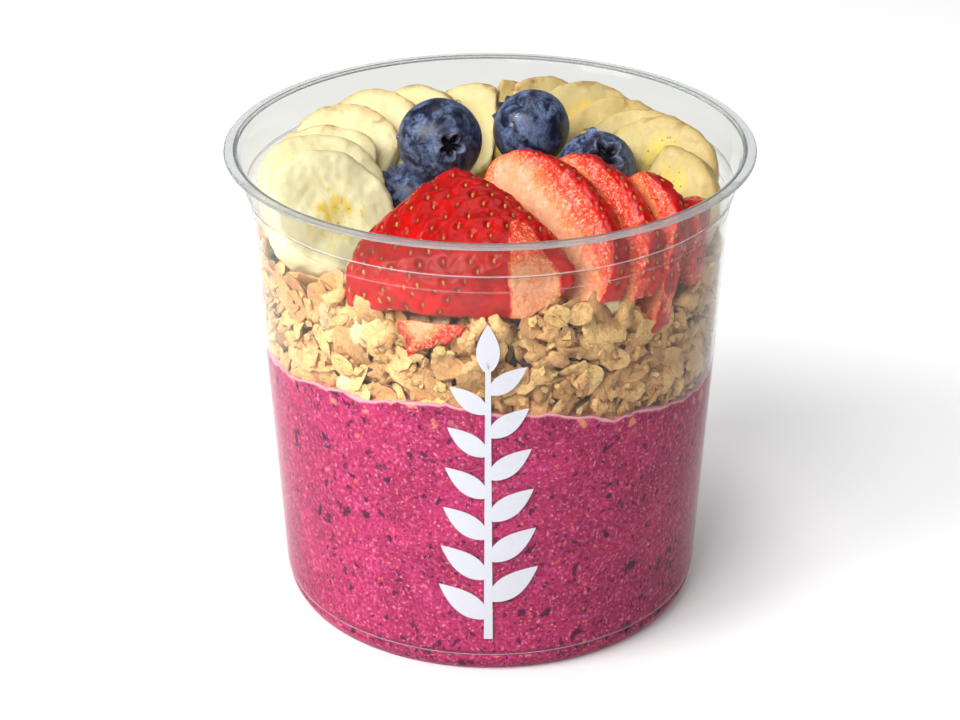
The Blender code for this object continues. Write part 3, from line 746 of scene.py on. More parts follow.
def oat_finish(name, colour, dark, flake_noise=0.0011):
    finish = Finish(name, 0.62, ior=1.42, soft=0.06, soft_scale=0.0010)
    place = finish.place()
    own = finish.kept("own_shade")
    broad = finish.noise(place, 0.0030, 3.0, 0.6)
    fine = finish.noise(place, flake_noise, 4.0, 0.70)
    folds = finish.noise(place, 0.0022, 3.0, 0.6, 2.0)
    base = finish.blend(own, shade(colour, 0.74), shade(colour, 1.30))
    base = finish.blend(finish.step(own, 0.25, 0.0, 0.0, 0.45), base, dark)
    base = finish.blend(finish.step(broad, 0.50, 0.76, 0.0, 0.60), base, dark)
    base = finish.blend(finish.step(fine, 0.54, 0.72, 0.0, 0.60), base, shade(dark, 0.60))
    base = finish.blend(finish.step(fine, 0.44, 0.28, 0.0, 0.60), base, shade(colour, 1.40))
    # The crease lines are bumped in and darkened as painted shade.
    crease = finish.step(finish.maths("ABSOLUTE", finish.less(folds, 0.5)), 0.020, 0.0)
    base = finish.blend(finish.times(crease, 0.55), base, shade(dark, 0.80))
    bumps = finish.bump(finish.less(broad, crease), 0.0007, 0.6)
    return finish.wear(colour=base, normal=finish.bump(fine, 0.00045, 0.8, bumps))


def core_shade_finish():
    finish = Finish("Granola heart in painted shade", 0.8)
    mix = finish.noise(finish.place(), 0.0035, 4.0, 0.65)
    # Painted shade: near-black colour for the gaps between flakes.
    colour = finish.blend(finish.step(mix, 0.42, 0.66), (0.045, 0.014, 0.013), (0.20, 0.075, 0.028))
    return finish.wear(colour=colour, normal=finish.bump(mix, 0.0012, 0.8))


def banana_finish(flesh, heart):
    """Banana flesh, whose pattern follows the slice: its place is in radii across and thicknesses along."""
    finish = Finish("Banana flesh", 0.42, ior=1.40, soft=0.25, soft_scale=0.003,
                    soft_radius=(1.0, 0.8, 0.35))
    tan, streak_tint, gold = (0.62, 0.47, 0.16), (0.90, 0.70, 0.28), (0.92, 0.70, 0.14)
    pip_tint, rim_shade_tint, edge_shade_tint = (0.30, 0.17, 0.03), (0.70, 0.47, 0.18), (0.38, 0.20, 0.07)
    x, y, z = finish.add("SeparateXYZ", {0: finish.kept("slice_place", "Vector")}).outputs
    across = finish.maths("SQRT", finish.plus(finish.times(x, x), finish.times(y, y)))
    angle = finish.maths("ARCTAN2", y, x)
    shade_amount = finish.kept("slice_shade")
    place = finish.place()
    soft = finish.noise(place, 0.0040, 3.0, 0.6, 0.3)
    fine = finish.noise(place, 0.0007, 3.0, 0.6)
    polar = finish.add("CombineXYZ", {0: finish.times(angle, 3.2), 1: finish.times(across, 0.8), 2: z})
    rays = finish.noise(polar.outputs[0], 0.40, 3.0, 0.6)
    colour = finish.blend(finish.step(soft, 0.35, 0.70), flesh, shade(flesh, 0.95))
    # Painted shade: each slice is darkened towards tan by its shade amount.
    colour = finish.blend(finish.times(shade_amount, 0.90), colour, tan)
    patches = finish.noise(finish.stretched(place, (1.0, 1.0, 0.35)), 0.0026, 3.0, 0.6)
    streaks = finish.times(finish.step(rays, 0.52, 0.74, 0.0, 0.30), finish.step(across, 0.30, 0.80))
    colour = finish.blend(streaks, colour, streak_tint)
    yellow = finish.times(finish.step(patches, 0.48, 0.64, 0.0, 0.70), finish.step(across, 0.72, 0.40))
    colour = finish.blend(yellow, colour, gold)
    lobes = finish.times(finish.maths("COSINE", finish.times(angle, 3.0)), 0.06)
    heart_reach = finish.plus(finish.kept("heart_gap"), finish.plus(lobes, finish.times(rays, 0.35)))
    centre = finish.times(finish.step(heart_reach, 0.56, 0.32), finish.step(patches, 0.36, 0.56, 0.15, 0.85))
    colour = finish.blend(centre, colour, heart)
    pips = finish.times(finish.step(finish.cells(place, 0.0013), 0.28, 0.12),
                        finish.step(heart_reach, 0.48, 0.38, 0.0, 0.75))
    colour = finish.blend(pips, colour, pip_tint)
    # Painted shade on the slice's sides, tan where its shade amount is higher.
    rim = finish.times(finish.step(across, 0.84, 1.00, 0.0, 0.75),
                       finish.step(patches, 0.30, 0.60, 0.45, 1.0), finish.step(shade_amount, 0.0, 0.25, 0.35, 1.0))
    colour = finish.blend(rim, colour, rim_shade_tint)
    # Painted shade at the slice's edges, in soft dark patches.
    edge = finish.times(finish.step(across, 0.76, 0.98), finish.step(shade_amount, 0.05, 0.30, 0.10, 0.70))
    edge_shade = finish.times(finish.step(soft, 0.50, 0.66), edge)
    colour = finish.blend(edge_shade, colour, edge_shade_tint)
    rough = finish.step(fine, 0.3, 0.7, 0.34, 0.55)
    bumps = finish.bump(patches, 0.00022, 0.5)
    return finish.wear(colour=colour, roughness=rough, normal=finish.bump(fine, 0.00012, 0.4, bumps))


def blueberry_finish(skin, bloom):
    finish = Finish("Blueberry skin", 0.5, ior=1.45)
    hollow_tint, lip_tint = (0.005, 0.003, 0.007), (0.15, 0.12, 0.13)
    place = finish.place()
    cloud = finish.noise(place, 0.0042, 4.0, 0.62, 0.8)
    fine = finish.noise(place, 0.0009, 4.0, 0.7)
    wipes = finish.noise(finish.stretched(place, (1.0, 0.4, 1.0)), 0.0022, 3.0, 0.6)
    dust = finish.times(finish.step(cloud, 0.36, 0.62), finish.step(fine, 0.22, 0.60),
                        finish.step(wipes, 0.30, 0.50))
    colour = finish.blend(dust, skin, bloom)
    colour = finish.blend(finish.step(finish.kept("crown"), 0.1, 0.8), colour, hollow_tint)
    colour = finish.blend(finish.times(finish.kept("crown_lip"), 0.40), colour, lip_tint)
    rough = finish.step(dust, 0.0, 1.0, 0.30, 0.68)
    return finish.wear(colour=colour, roughness=rough, normal=finish.bump(fine, 0.0002, 0.35))


def strawberry_finish(skin, flesh):
    finish = Finish("Strawberry", 0.25, ior=1.40, gloss=0.50, soft=0.06, soft_scale=0.0018,
                    soft_radius=(1.0, 0.25, 0.12))
    orange, red = (0.90, 0.22, 0.075), (0.76, 0.040, 0.018)
    mottle_and_glint, dark_mottle = (0.98, 0.55, 0.30), (0.66, 0.020, 0.010)
    place = finish.place()
    reach = finish.kept("reach")
    along = finish.kept("berry_place", "Vector")
    fibre = finish.noise(finish.stretched(along, (14.0, 14.0, 1.6)), 1.0, 4.0, 0.65, 0.5)
    fine = finish.noise(place, 0.0006, 4.0, 0.7)
    soft = finish.noise(place, 0.0050, 3.0, 0.6)
    uneven = finish.plus(reach, finish.times(finish.less(fibre, 0.5), 0.50))
    uneven = finish.plus(uneven, finish.times(finish.less(soft, 0.5), 0.34))
    uneven = finish.plus(uneven, finish.kept("ripe"))
    colour = finish.blend(finish.step(uneven, 0.35, 0.62), flesh, orange)
    colour = finish.blend(finish.step(uneven, 0.62, 0.86), colour, red)
    # Pale mottling, partly the flesh's own and partly painted wet glints.
    colour = finish.blend(finish.step(fine, 0.50, 0.64, 0.0, 0.75), colour, mottle_and_glint)
    mottle = finish.times(finish.step(fine, 0.46, 0.34, 0.0, 0.70), finish.step(uneven, 0.30, 0.60))
    colour = finish.blend(mottle, colour, dark_mottle)
    deep = finish.blend(finish.step(soft, 0.35, 0.7), shade(skin, 0.75), shade(skin, 1.15))
    colour = finish.blend(finish.step(reach, 0.84, 0.90), colour, deep)
    # Painted shade in the seed pits.
    colour = finish.blend(finish.times(finish.kept("pit"), 0.70), colour, shade(skin, 0.42))
    bumps = finish.bump(fibre, 0.0005, 0.35)
    rough = finish.step(fine, 0.3, 0.7, 0.06, 0.20)
    return finish.wear(colour=colour, roughness=rough, normal=finish.bump(fine, 0.00022, 0.5, bumps))


def seed_finish(seed):
    finish = Finish("Strawberry seed", 0.40, ior=1.42)
    own = finish.kept("own_shade")
    colour = finish.blend(own, shade(seed, 0.60), shade(seed, 1.30))
    fine = finish.noise(finish.place(), 0.0004, 2.0)
    return finish.wear(colour=colour, normal=finish.bump(fine, 0.00005, 0.4))


def water_finish():
    finish = clear_finish("Water", (1.0, 1.0, 1.0), 1.33, 0.0, 1.0, (1.0, 1.0, 1.0))
    ripple = finish.noise(finish.place(), 0.002, 1.0)
    return finish.wear(normal=finish.bump(ripple, 0.00005, 0.2))


def floor_finish():
    """A white floor that glows a little, less so close to the cup, where the weaker glow paints a shadow
    round the foot and its cast shadow stays.
    """
    finish = Finish("White floor", 0.9, glow_colour=(1.0, 1.0, 1.0, 1.0))
    place = finish.place()
    away = finish.add("VectorMath", {0: place}, operation="LENGTH").outputs["Value"]
    # Painted shadow: the glow is weaker close to the cup's foot.
    glow = finish.step(away, FOOT_RADIUS, FLOOR_GLOW_REACH, *FLOOR_GLOWS)
    finish.set(finish.shader.inputs["Emission Strength"], glow)
    speck = finish.noise(place, 0.05, 2.0)
    return finish.wear(colour=finish.blend(speck, (0.93, 0.93, 0.93), (0.95, 0.95, 0.95)))


class ACAIBOWL_OT_stage(bpy.types.Operator):
    """Floor, soft studio light and camera"""
    bl_idname = "acaibowl.stage"
    bl_label = "Stage"

    def execute(self, context):
        deselect_all()
        bpy.ops.mesh.primitive_plane_add(size=FLOOR_SIZE, location=(0.0, 0.0, FLOOR_HEIGHT))
        floor = name_piece("floor")
        apply_place(floor)
        floor.data.materials.append(floor_finish())
        for light in LIGHTS:
            self.add_light(*light)
        world = bpy.data.worlds.new("Studio")
        world.use_nodes = True
        sky = world.node_tree.nodes["Background"]
        sky.inputs["Color"].default_value = (1.0, 1.0, 1.0, 1.0)
        sky.inputs["Strength"].default_value = SKY_STRENGTH
        context.scene.world = world
        context.scene.view_settings.view_transform = "Standard"
        self.add_camera(context)
        return {"FINISHED"}

    def add_light(self, name, place, size, power):
        deselect_all()
        bpy.ops.object.light_add(type="AREA", location=place)
        light = bpy.context.object
        light.name = name
        light.data.size = size
        light.data.energy = power
        toward = Vector(LIGHT_TARGET) - Vector(place)
        light.rotation_euler = toward.to_track_quat("-Z", "Y").to_euler()

    def add_camera(self, context):
        elevation = math.radians(CAMERA_ELEVATION)
        back = Vector((0.0, -math.cos(elevation), math.sin(elevation)))
        deselect_all()
        bpy.ops.object.camera_add(location=Vector(CAMERA_TARGET) + back * CAMERA_DISTANCE)
        camera = context.object
        camera.rotation_euler = back.to_track_quat("Z", "Y").to_euler()
        camera.data.sensor_width = SENSOR_WIDTH
        camera.data.lens = FOCAL_PIXELS * SENSOR_WIDTH / FRAME_WIDTH
        camera.data.shift_x = CAMERA_SHIFT_PIXELS[0] / FRAME_WIDTH
        camera.data.shift_y = CAMERA_SHIFT_PIXELS[1] / FRAME_WIDTH
        camera.data.clip_start = 0.01
        context.scene.camera = camera


class ACAIBOWL_OT_cup(bpy.types.Operator):
    """Clear cup with its rolled rim, neck and rounded heel"""
    bl_idname = "acaibowl.cup"
    bl_label = "Cup"

    def execute(self, context):
        outside = heel_arc(0.0) + self.wall_rings(0.0)
        inside = heel_arc(WALL) + self.wall_rings(WALL)
        top = CUP_HEIGHT - 0.5 * RIM_HEIGHT
        edge = [(MOUTH_RADIUS + RIM_REACH + WALL, top), (MOUTH_RADIUS + RIM_REACH, top)]
        piece = drawn_up("cup_body", outside + edge + inside[::-1], CUP_STEPS)
        smooth_shade(piece, 32.0)
        dress(piece, cup_finish(), "clear_cup", "cup")
        self.rim()
        return {"FINISHED"}

    def rim(self):
        """The rolled lip, as a ring with a flattened section that the wall runs into."""
        half_width = 0.5 * (RIM_RADIUS - MOUTH_RADIUS)
        deselect_all()
        bpy.ops.mesh.primitive_torus_add(
            major_segments=CUP_STEPS, minor_segments=RIM_STEPS, major_radius=MOUTH_RADIUS + half_width,
            minor_radius=half_width)
        piece = name_piece("cup_rim")
        points = points_of(piece)
        away = np.hypot(points[:, 0], points[:, 1]) - (MOUTH_RADIUS + half_width)
        turn = np.arctan2(points[:, 2], away)
        squared = (np.abs(np.cos(turn)) ** RIM_SQUARENESS
                   + np.abs(np.sin(turn)) ** RIM_SQUARENESS) ** (-1.0 / RIM_SQUARENESS)
        radius = MOUTH_RADIUS + half_width * (1.0 + squared * np.cos(turn))
        points[:, :2] *= (radius / np.hypot(points[:, 0], points[:, 1]))[:, None]
        points[:, 2] = CUP_HEIGHT - 0.5 * RIM_HEIGHT * (1.0 - squared * np.sin(turn))
        move_points(piece, points)
        smooth_shade(piece)
        dress(piece, rim_finish(), "clear_cup", "cup")

    def wall_rings(self, inset):
        """The long taper, the shoulder, the ledge and the neck, from below."""
        rings = []
        for i in range(1, TAPER_STEPS + 1):
            height = HEEL[1] + (SHOULDER[1] - HEEL[1]) * i / TAPER_STEPS
            rings.append((outer_radius(height) - inset, height))
        lift = 0.5 * inset
        rings.append((LEDGE[0] - inset, LEDGE[1] + lift - LEDGE_ROUND))
        rings.append((LEDGE[0] - inset + CORNER, LEDGE[1] + lift))
        rings.append((NECK_FOOT[0] - inset - CORNER, NECK_FOOT[1] + lift))
        rings.append((NECK_FOOT[0] - inset, NECK_FOOT[1] + lift + NECK_ROUND))
        rings.append((NECK_TOP[0] - inset, NECK_TOP[1]))
        return rings


class ACAIBOWL_OT_lines(bpy.types.Operator):
    """Fine lines round the cup's rim, ledge and heel: pale ones as painted highlights, dark ones as painted
    shade
    """
    bl_idname = "acaibowl.lines"
    bl_label = "Cup lines"

    def execute(self, context):
        self.lines("cup_pale_lines", HIGHLIGHT_LINES, line_finish("Painted highlight line", HIGHLIGHT_LINE_TINT))
        self.lines("cup_dark_lines", SHADE_LINES, line_finish("Painted shade line", SHADE_LINE_TINT))
        return {"FINISHED"}

    def lines(self, name, places, material):
        rings = []
        for radius, height, thickness in places:
            deselect_all()
            bpy.ops.mesh.primitive_torus_add(
                major_segments=CUP_STEPS, minor_segments=8, major_radius=radius,
                minor_radius=thickness, location=(0.0, 0.0, height))
            rings.append(name_piece("line"))
            apply_place(rings[-1])
        piece = joined(rings, name)
        smooth_shade(piece)
        dress(piece, material, "clear_cup")


class ACAIBOWL_OT_print(bpy.types.Operator):
    """White leafy sprig, printed up the front of the cup"""
    bl_idname = "acaibowl.print"
    bl_label = "Print"

    def execute(self, context):
        sizes = context.scene.acai_bowl_sizes
        height, width = sizes.print_height, sizes.print_width
        leaves = []
        for i in range(LEAF_PAIRS):
            foot = height * (0.10 + 0.80 * i / LEAF_PAIRS)
            length = 0.5 * width * (1.15 - 0.35 * i / LEAF_PAIRS)
            for side in (-1.0, 1.0):
                leaves.append(self.leaf(foot + 0.03 * height * side, side, length))
        leaves.append(self.leaf(height * 0.86, 0.0, 0.15 * height))
        leaves.append(self.stem(height))
        piece = joined(leaves, "cup_print")
        self.wrap(piece)
        dress(piece, print_finish(), "clear_cup")
        return {"FINISHED"}

    def leaf(self, foot, side, length):
        """One flat leaf in the XY plane, its foot on the stem, turned out to its side."""
        deselect_all()
        bpy.ops.mesh.primitive_grid_add(x_subdivisions=6, y_subdivisions=12, size=1.0)
        leaf = name_piece("leaf")
        points = points_of(leaf)
        share = points[:, 1] + 0.5
        belly = np.sin(math.pi * share ** 0.8) ** 0.9
        points[:, 0] *= LEAF_WIDTH_SHARE * length * belly
        points[:, 1] = share * length
        move_points(leaf, points)
        leaf.rotation_euler = (0.0, 0.0, math.radians(LEAF_TURN) * -side)
        leaf.location = (0.0, foot, 0.0)
        apply_place(leaf)
        return leaf

    def stem(self, height):
        deselect_all()
        bpy.ops.mesh.primitive_grid_add(x_subdivisions=2, y_subdivisions=40, size=1.0)
        stem = name_piece("stem")
        points = points_of(stem)
        share = points[:, 1] + 0.5
        points[:, 0] *= STEM_WIDTH * (1.15 - 0.5 * share)
        points[:, 1] = share * height * 0.92
        move_points(stem, points)
        return stem

    def wrap(self, piece):
        """Lay the flat print on the cup's outer face, a hair proud of it."""
        edit_mode(piece)
        bpy.ops.mesh.remove_doubles(threshold=0.00001)
        object_mode()
        points = points_of(piece)
        laid = np.empty_like(points)
        for i, (x, y, _) in enumerate(points):
            z = PRINT_FOOT + y
            radius = outer_radius(z) + PRINT_THICKNESS
            turn = math.radians(PRINT_AZIMUTH) + x / radius
            laid[i] = (radius * math.cos(turn), radius * math.sin(turn), z)
        move_points(piece, laid)
        apply_modifier(piece, "SOLIDIFY", thickness=PRINT_THICKNESS, offset=1.0)
        face_outwards(piece)
        smooth_shade(piece, 40.0)


class ACAIBOWL_OT_puree(bpy.types.Operator):
    """Acai puree that fills the cup up to its wavy level"""
    bl_idname = "acaibowl.puree"
    bl_label = "Acai puree"

    def execute(self, context):
        rings = heel_arc(ACAI_REACH)
        for i in range(1, ACAI_STEPS + 1):
            height = HEEL[1] + (ACAI_MIDDLE - HEEL[1]) * i / ACAI_STEPS
            rings.append((outer_radius(height) - ACAI_REACH, height))
        edge = outer_radius(ACAI_MIDDLE) - ACAI_REACH
        rings += [(edge * share, ACAI_MIDDLE) for share in ACAI_TOP_RINGS]
        piece = drawn_up("acai_puree", rings, ACAI_SEGMENTS)
        points = points_of(piece)
        below = np.zeros(len(points))
        for i, (x, y, z) in enumerate(points):
            level = level_at(azimuth_of(x, y), ACAI_LEVELS)
            for size, strength in LEVEL_WAVES:
                level += strength * noise.noise(Vector((x, y, 0.0)) / size)
            share = min(1.0, math.hypot(x, y) / edge)
            if z >= ACAI_MIDDLE - 1e-6 and share < 0.999:
                goal = ACAI_MIDDLE + share ** 2 * (level - ACAI_MIDDLE)
                points[i, 2] = goal - DIP_DEPTH * smooth_step((1.0 - share) / DIP_SHARE)
                continue
            if z >= HEEL[1]:
                part = (z - HEEL[1]) / (ACAI_MIDDLE - HEEL[1])
                points[i, 2] = HEEL[1] + part * (level - HEEL[1])
                points[i, :2] *= (outer_radius(points[i, 2]) - ACAI_REACH) / math.hypot(x, y)
            below[i] = level - points[i, 2]
        move_points(piece, points)
        store(piece, "below_top", below)
        smooth_shade(piece, 60.0)
        dress(piece, puree_finish(context.scene.acai_bowl_colours.puree), "acai", "acai")
        return {"FINISHED"}


def fruit_search():
    """Search trees of all fruit solids."""
    return [search_tree(node.data) for name, node in frame["nodes"].items()
            if name not in ("cup", "acai", "granola")]


def drawn_size(rng, length, shares):
    """Length, width and thickness, each drawn between two shares of a length."""
    return [length * rng.uniform(*share) for share in shares]


def flake_shape(rng, size, segments, rings, curl, crumple, groove=0.0):
    """One flake or lump, modelled from a sphere: size is its length, width and thickness."""
    deselect_all()
    bpy.ops.mesh.primitive_uv_sphere_add(segments=segments, ring_count=rings, radius=0.5)
    piece = name_piece("flake")
    points = points_of(piece)
    length, width, thickness = size
    shift = Vector((rng.random() * 50.0, rng.random() * 50.0, rng.random() * 50.0))
    for i, point in enumerate(points):
        lump = 1.0 + crumple * noise.noise(Vector(point) * 2.6 + shift)
        x, y, z = Vector(point) * lump
        torn = 1.0 + groove * 0.5 * noise.noise(Vector((x, y, 0.0)) * 5.0 + shift)
        bend = curl * length * (x * x + 0.6 * y * y) - groove * width * 0.5 * math.exp(-(y / 0.13) ** 2)
        points[i] = (x * length * torn, y * width * torn, z * thickness + bend
                     + 0.10 * width * crumple * noise.noise(Vector((x, y, 0.0)) * 4.0 + shift))
    move_points(piece, points)
    return piece


def scattered(name, shapes, places, rng, angle=None):
    """Copies of the shapes at the places, joined into one mesh."""
    vertices, faces, shades = [], [], []
    meshes = []
    for shape in shapes:
        polygons = [tuple(p.vertices) for p in shape.data.polygons]
        meshes.append((points_of(shape), polygons))
        bpy.data.objects.remove(shape, do_unlink=True)
    for matrix, limit in places:
        points, polygons = meshes[rng.randrange(len(meshes))]
        turned = points @ np.array(matrix.to_3x3()).T + np.array(matrix.translation)
        if limit:
            turned = kept_inside(turned)
        start = len(vertices)
        vertices.extend(map(tuple, turned))
        faces.extend([tuple(start + index for index in polygon) for polygon in polygons])
        shades.extend([rng.random()] * len(points))
    mesh = bpy.data.meshes.new(name)
    mesh.from_pydata(vertices, [], faces)
    mesh.validate()
    piece = bpy.data.objects.new(name, mesh)
    bpy.context.scene.collection.objects.link(piece)
    store(piece, "own_shade", np.array(shades))
    smooth_shade(piece, angle)
    return piece


def kept_inside(points):
    """Shift a piece of granola in from the wall, and flatten what is left against it."""
    reach = np.hypot(points[:, 0], points[:, 1])
    limit = outer_radius(points[:, 2]) - WALL - WALL_CLEARANCE
    over = max(0.0, float((reach - limit).max()))
    centre = points.mean(axis=0)
    outward = centre[:2] / np.hypot(*centre[:2])
    points[:, :2] -= outward * over * 0.6
    reach = np.hypot(points[:, 0], points[:, 1])
    scale = np.minimum(1.0, limit / reach)
    points[:, :2] *= scale[:, None]
    return points


class ACAIBOWL_OT_granola(bpy.types.Operator):
    """Granola: oat flakes, clusters, nuts and crumbs over a heart coloured as painted shade"""
    bl_idname = "acaibowl.granola"
    bl_label = "Granola"

    def execute(self, context):
        sizes = context.scene.acai_bowl_sizes
        colours = context.scene.acai_bowl_colours
        rng = random.Random(5)
        self.trees = fruit_search()
        self.heart()
        length = sizes.flake_length
        walls = self.wall_places(rng, sizes.flake_spacing)
        tops = self.top_places(rng)
        rng.shuffle(walls)
        first, second, third = (int(share * len(walls)) for share in WALL_SHARES)
        flakes = [flake_shape(rng, drawn_size(rng, length, OAT_SHARES), 12, 6, rng.uniform(*OAT_CURL), 0.32,
                              rng.uniform(*OAT_GROOVE)) for _ in range(OAT_SHAPES)]
        oats = scattered("granola_oat_flakes", flakes, walls[:first] + tops[::2], rng, 62.0)
        dress(oats, oat_finish("Oat flake", colours.oat, OAT_DARK), "granola", "granola")
        lumps = [flake_shape(rng, drawn_size(rng, length, CLUSTER_SHARES), 12, 8, 0.0, 1.25)
                 for _ in range(CLUSTER_SHAPES)]
        clusters = scattered("granola_clusters", lumps, walls[first:second] + tops[1::4], rng)
        dress(clusters, oat_finish("Oat cluster", shade(colours.oat, 0.88), CLUSTER_DARK, 0.0007),
              "granola", "granola")
        nuts = [flake_shape(rng, drawn_size(rng, length, NUT_SHARES), 14, 9, 0.0, 0.30)
                for _ in range(NUT_SHAPES)]
        nutty = scattered("granola_nuts", nuts, self.nut_places() + walls[second:third] + tops[3::8], rng)
        dress(nutty, oat_finish("Nut", colours.nut, NUT_DARK, 0.0020), "granola", "granola")
        bits = [flake_shape(rng, CRUMB_SIZE, 7, 5, 0.1, 0.8) for _ in range(CRUMB_SHAPES)]
        crumbs = scattered("granola_crumbs", bits, self.crumb_places(rng), rng, 45.0)
        dress(crumbs, oat_finish("Oat crumb", shade(colours.oat, 1.05), CRUMB_DARK, 0.0005),
              "granola", "granola")
        return {"FINISHED"}

    def nut_places(self):
        """Places of the nuts that lie against the wall in plain sight."""
        places = []
        for azimuth, height, lean in NUTS:
            angle = math.radians(azimuth)
            outward = Vector((math.cos(angle), math.sin(angle), 0.0))
            radius = outer_radius(height) - WALL - NUT_INSET
            turn = Matrix((outward.cross(UP), UP, outward))
            roll = Matrix.Rotation(math.radians(lean), 4, "Z")
            place = Matrix.Translation(outward * radius + Vector((0.0, 0.0, height)))
            places.append((place @ turn.transposed().to_4x4() @ roll, True))
        return places

    def heart(self):
        """The heart of the heap, coloured near black as painted shade in the gaps between flakes."""
        piece = solid_copy("granola", "granola_core")
        soften(piece, HEART_VOXEL, 6)
        move_points(piece, points_of(piece) - normals_of(piece) * HEART_SHRINK)
        ruffle(piece, *HEART_RUFFLE, 3)
        move_points(piece, kept_inside(points_of(piece)))
        smooth_shade(piece)
        dress(piece, core_shade_finish(), "granola", "granola")

    def clear(self, centre, room):
        return all((tree.find_nearest(centre, room) or (None,))[0] is None for tree in self.trees)

    def wall_places(self, rng, spacing):
        places = []
        count = int(math.tau * WALL_LAYER_RADIUS / spacing)
        for depth, lean in WALL_LAYERS:
            for i in range(count):
                azimuth = 360.0 * (i + 0.5 * rng.random()) / count
                low = level_at(azimuth, ACAI_LEVELS) + 0.0010
                high = level_at(azimuth, GRANOLA_LEVELS) + 0.0010
                rows = max(2, round((high - low) / (ROW_SPACING_SHARE * spacing)))
                for row in range(rows + 1):
                    height = low + (high - low) * (row + rng.uniform(-0.35, 0.35)) / rows
                    angle = math.radians(azimuth + rng.uniform(-2.8, 2.8))
                    radius = outer_radius(height) - WALL - depth - rng.uniform(0.0, 0.0012)
                    centre = Vector((radius * math.cos(angle), radius * math.sin(angle), height))
                    if not self.clear(centre, 0.0012):
                        continue
                    outward = Vector((math.cos(angle), math.sin(angle), 0.0))
                    facing = outward + Vector([rng.uniform(-lean, lean) for _ in range(3)])
                    places.append((self.turned_place(centre, facing, rng), True))
        return places

    def top_places(self, rng):
        """Places on top of the heap, where the solid's upper face shows between the fruit."""
        tree = search_tree(frame["nodes"]["granola"].data)
        places = []
        for _ in range(TOP_TRIES):
            angle = rng.uniform(0.0, math.tau)
            radius = TOP_RADIUS * math.sqrt(rng.random())
            start = Vector((radius * math.cos(angle), radius * math.sin(angle), 0.13))
            hit, normal, _, _ = tree.ray_cast(start, Vector((0.0, 0.0, -1.0)))
            if hit is None or not self.clear(hit + Vector((0.0, 0.0, 0.0008)), 0.0016):
                continue
            facing = normal + Vector([rng.uniform(-0.6, 0.6) for _ in range(3)])
            places.append((self.turned_place(hit + normal * 0.0002, facing, rng), False))
        return places

    def crumb_places(self, rng):
        places = []
        for _ in range(CRUMB_TRIES):
            azimuth = rng.uniform(-180.0, 180.0)
            low = level_at(azimuth, ACAI_LEVELS)
            high = level_at(azimuth, GRANOLA_LEVELS) + 0.0015
            height = rng.uniform(low + 0.0003, high)
            angle = math.radians(azimuth)
            radius = outer_radius(height) - WALL - rng.uniform(0.0006, 0.0030)
            centre = Vector((radius * math.cos(angle), radius * math.sin(angle), height))
            if self.clear(centre, 0.0008):
                facing = Vector([rng.uniform(-1.0, 1.0) for _ in range(3)])
                places.append((self.turned_place(centre, facing, rng), True))
        return places

    def turned_place(self, centre, facing, rng):
        turn = UP.rotation_difference(facing.normalized()).to_matrix().to_4x4()
        roll = Matrix.Rotation(rng.uniform(0.0, math.tau), 4, "Z")
        size = rng.uniform(0.78, 1.15)
        return Matrix.Translation(centre) @ turn @ roll @ Matrix.Scale(size, 4)


def banana_places():
    """Centre, normal and radius of each slice, as the solids have them."""
    places = []
    for azimuths, radius, ring_radius, (forward, inward, upward) in BANANA_RUNS:
        for azimuth in azimuths:
            angle = math.radians(azimuth)
            outward = Vector((math.cos(angle), math.sin(angle), 0.0))
            ahead = Vector((-outward.y, outward.x, 0.0))
            normal = (forward * ahead - inward * outward + Vector((0.0, 0.0, upward))).normalized()
            height = BANANA_HEIGHT + BANANA_HEIGHT_WAVE * math.sin(8.0 * angle)
            places.append((outward * ring_radius + Vector((0.0, 0.0, height)), normal, radius))
    return places


class ACAIBOWL_OT_bananas(bpy.types.Operator):
    """Ring of banana slices"""
    bl_idname = "acaibowl.bananas"
    bl_label = "Banana slices"

    def execute(self, context):
        colours = context.scene.acai_bowl_colours
        material = banana_finish(colours.banana, colours.banana_heart)
        for i, (centre, normal, radius) in enumerate(banana_places()):
            node = "banana_slice_%02d" % (i + 1)
            piece = solid_copy(node, "banana_flesh_%02d" % (i + 1))
            soften(piece, BANANA_VOXEL, 5)
            for size, strength in BANANA_RUFFLES:
                ruffle(piece, size, strength, i)
            self.mark(piece, centre, normal, radius, i)
            smooth_shade(piece)
            dress(piece, material, "banana", node)
        return {"FINISHED"}

    def mark(self, piece, centre, normal, radius, index):
        """Store each point's place in its slice, in radii, for the pattern to follow."""
        turn = UP.rotation_difference(normal).to_matrix()
        local = (points_of(piece) - np.array(centre)) @ np.array(turn) / radius
        local[:, :2] += 0.05 * np.array((math.sin(index * 2.3), math.cos(index * 1.9)))
        local[:, 2] += 3.0 * index
        store(piece, "slice_place", local)
        heart = np.zeros(3)
        if index >= FIRST_SHIFTED_SLICE:
            outward = np.array((centre.x, centre.y, 0.0)) / math.hypot(centre.x, centre.y)
            heart = HEART_SHIFT * (0.4 * outward + np.array((0.0, 0.0, 1.0))) @ np.array(turn)
        store(piece, "heart_gap", np.hypot(local[:, 0] - heart[0], local[:, 1] - heart[1]))
        store(piece, "slice_shade", np.full(len(local), BANANA_SHADE_AMOUNTS[index]))


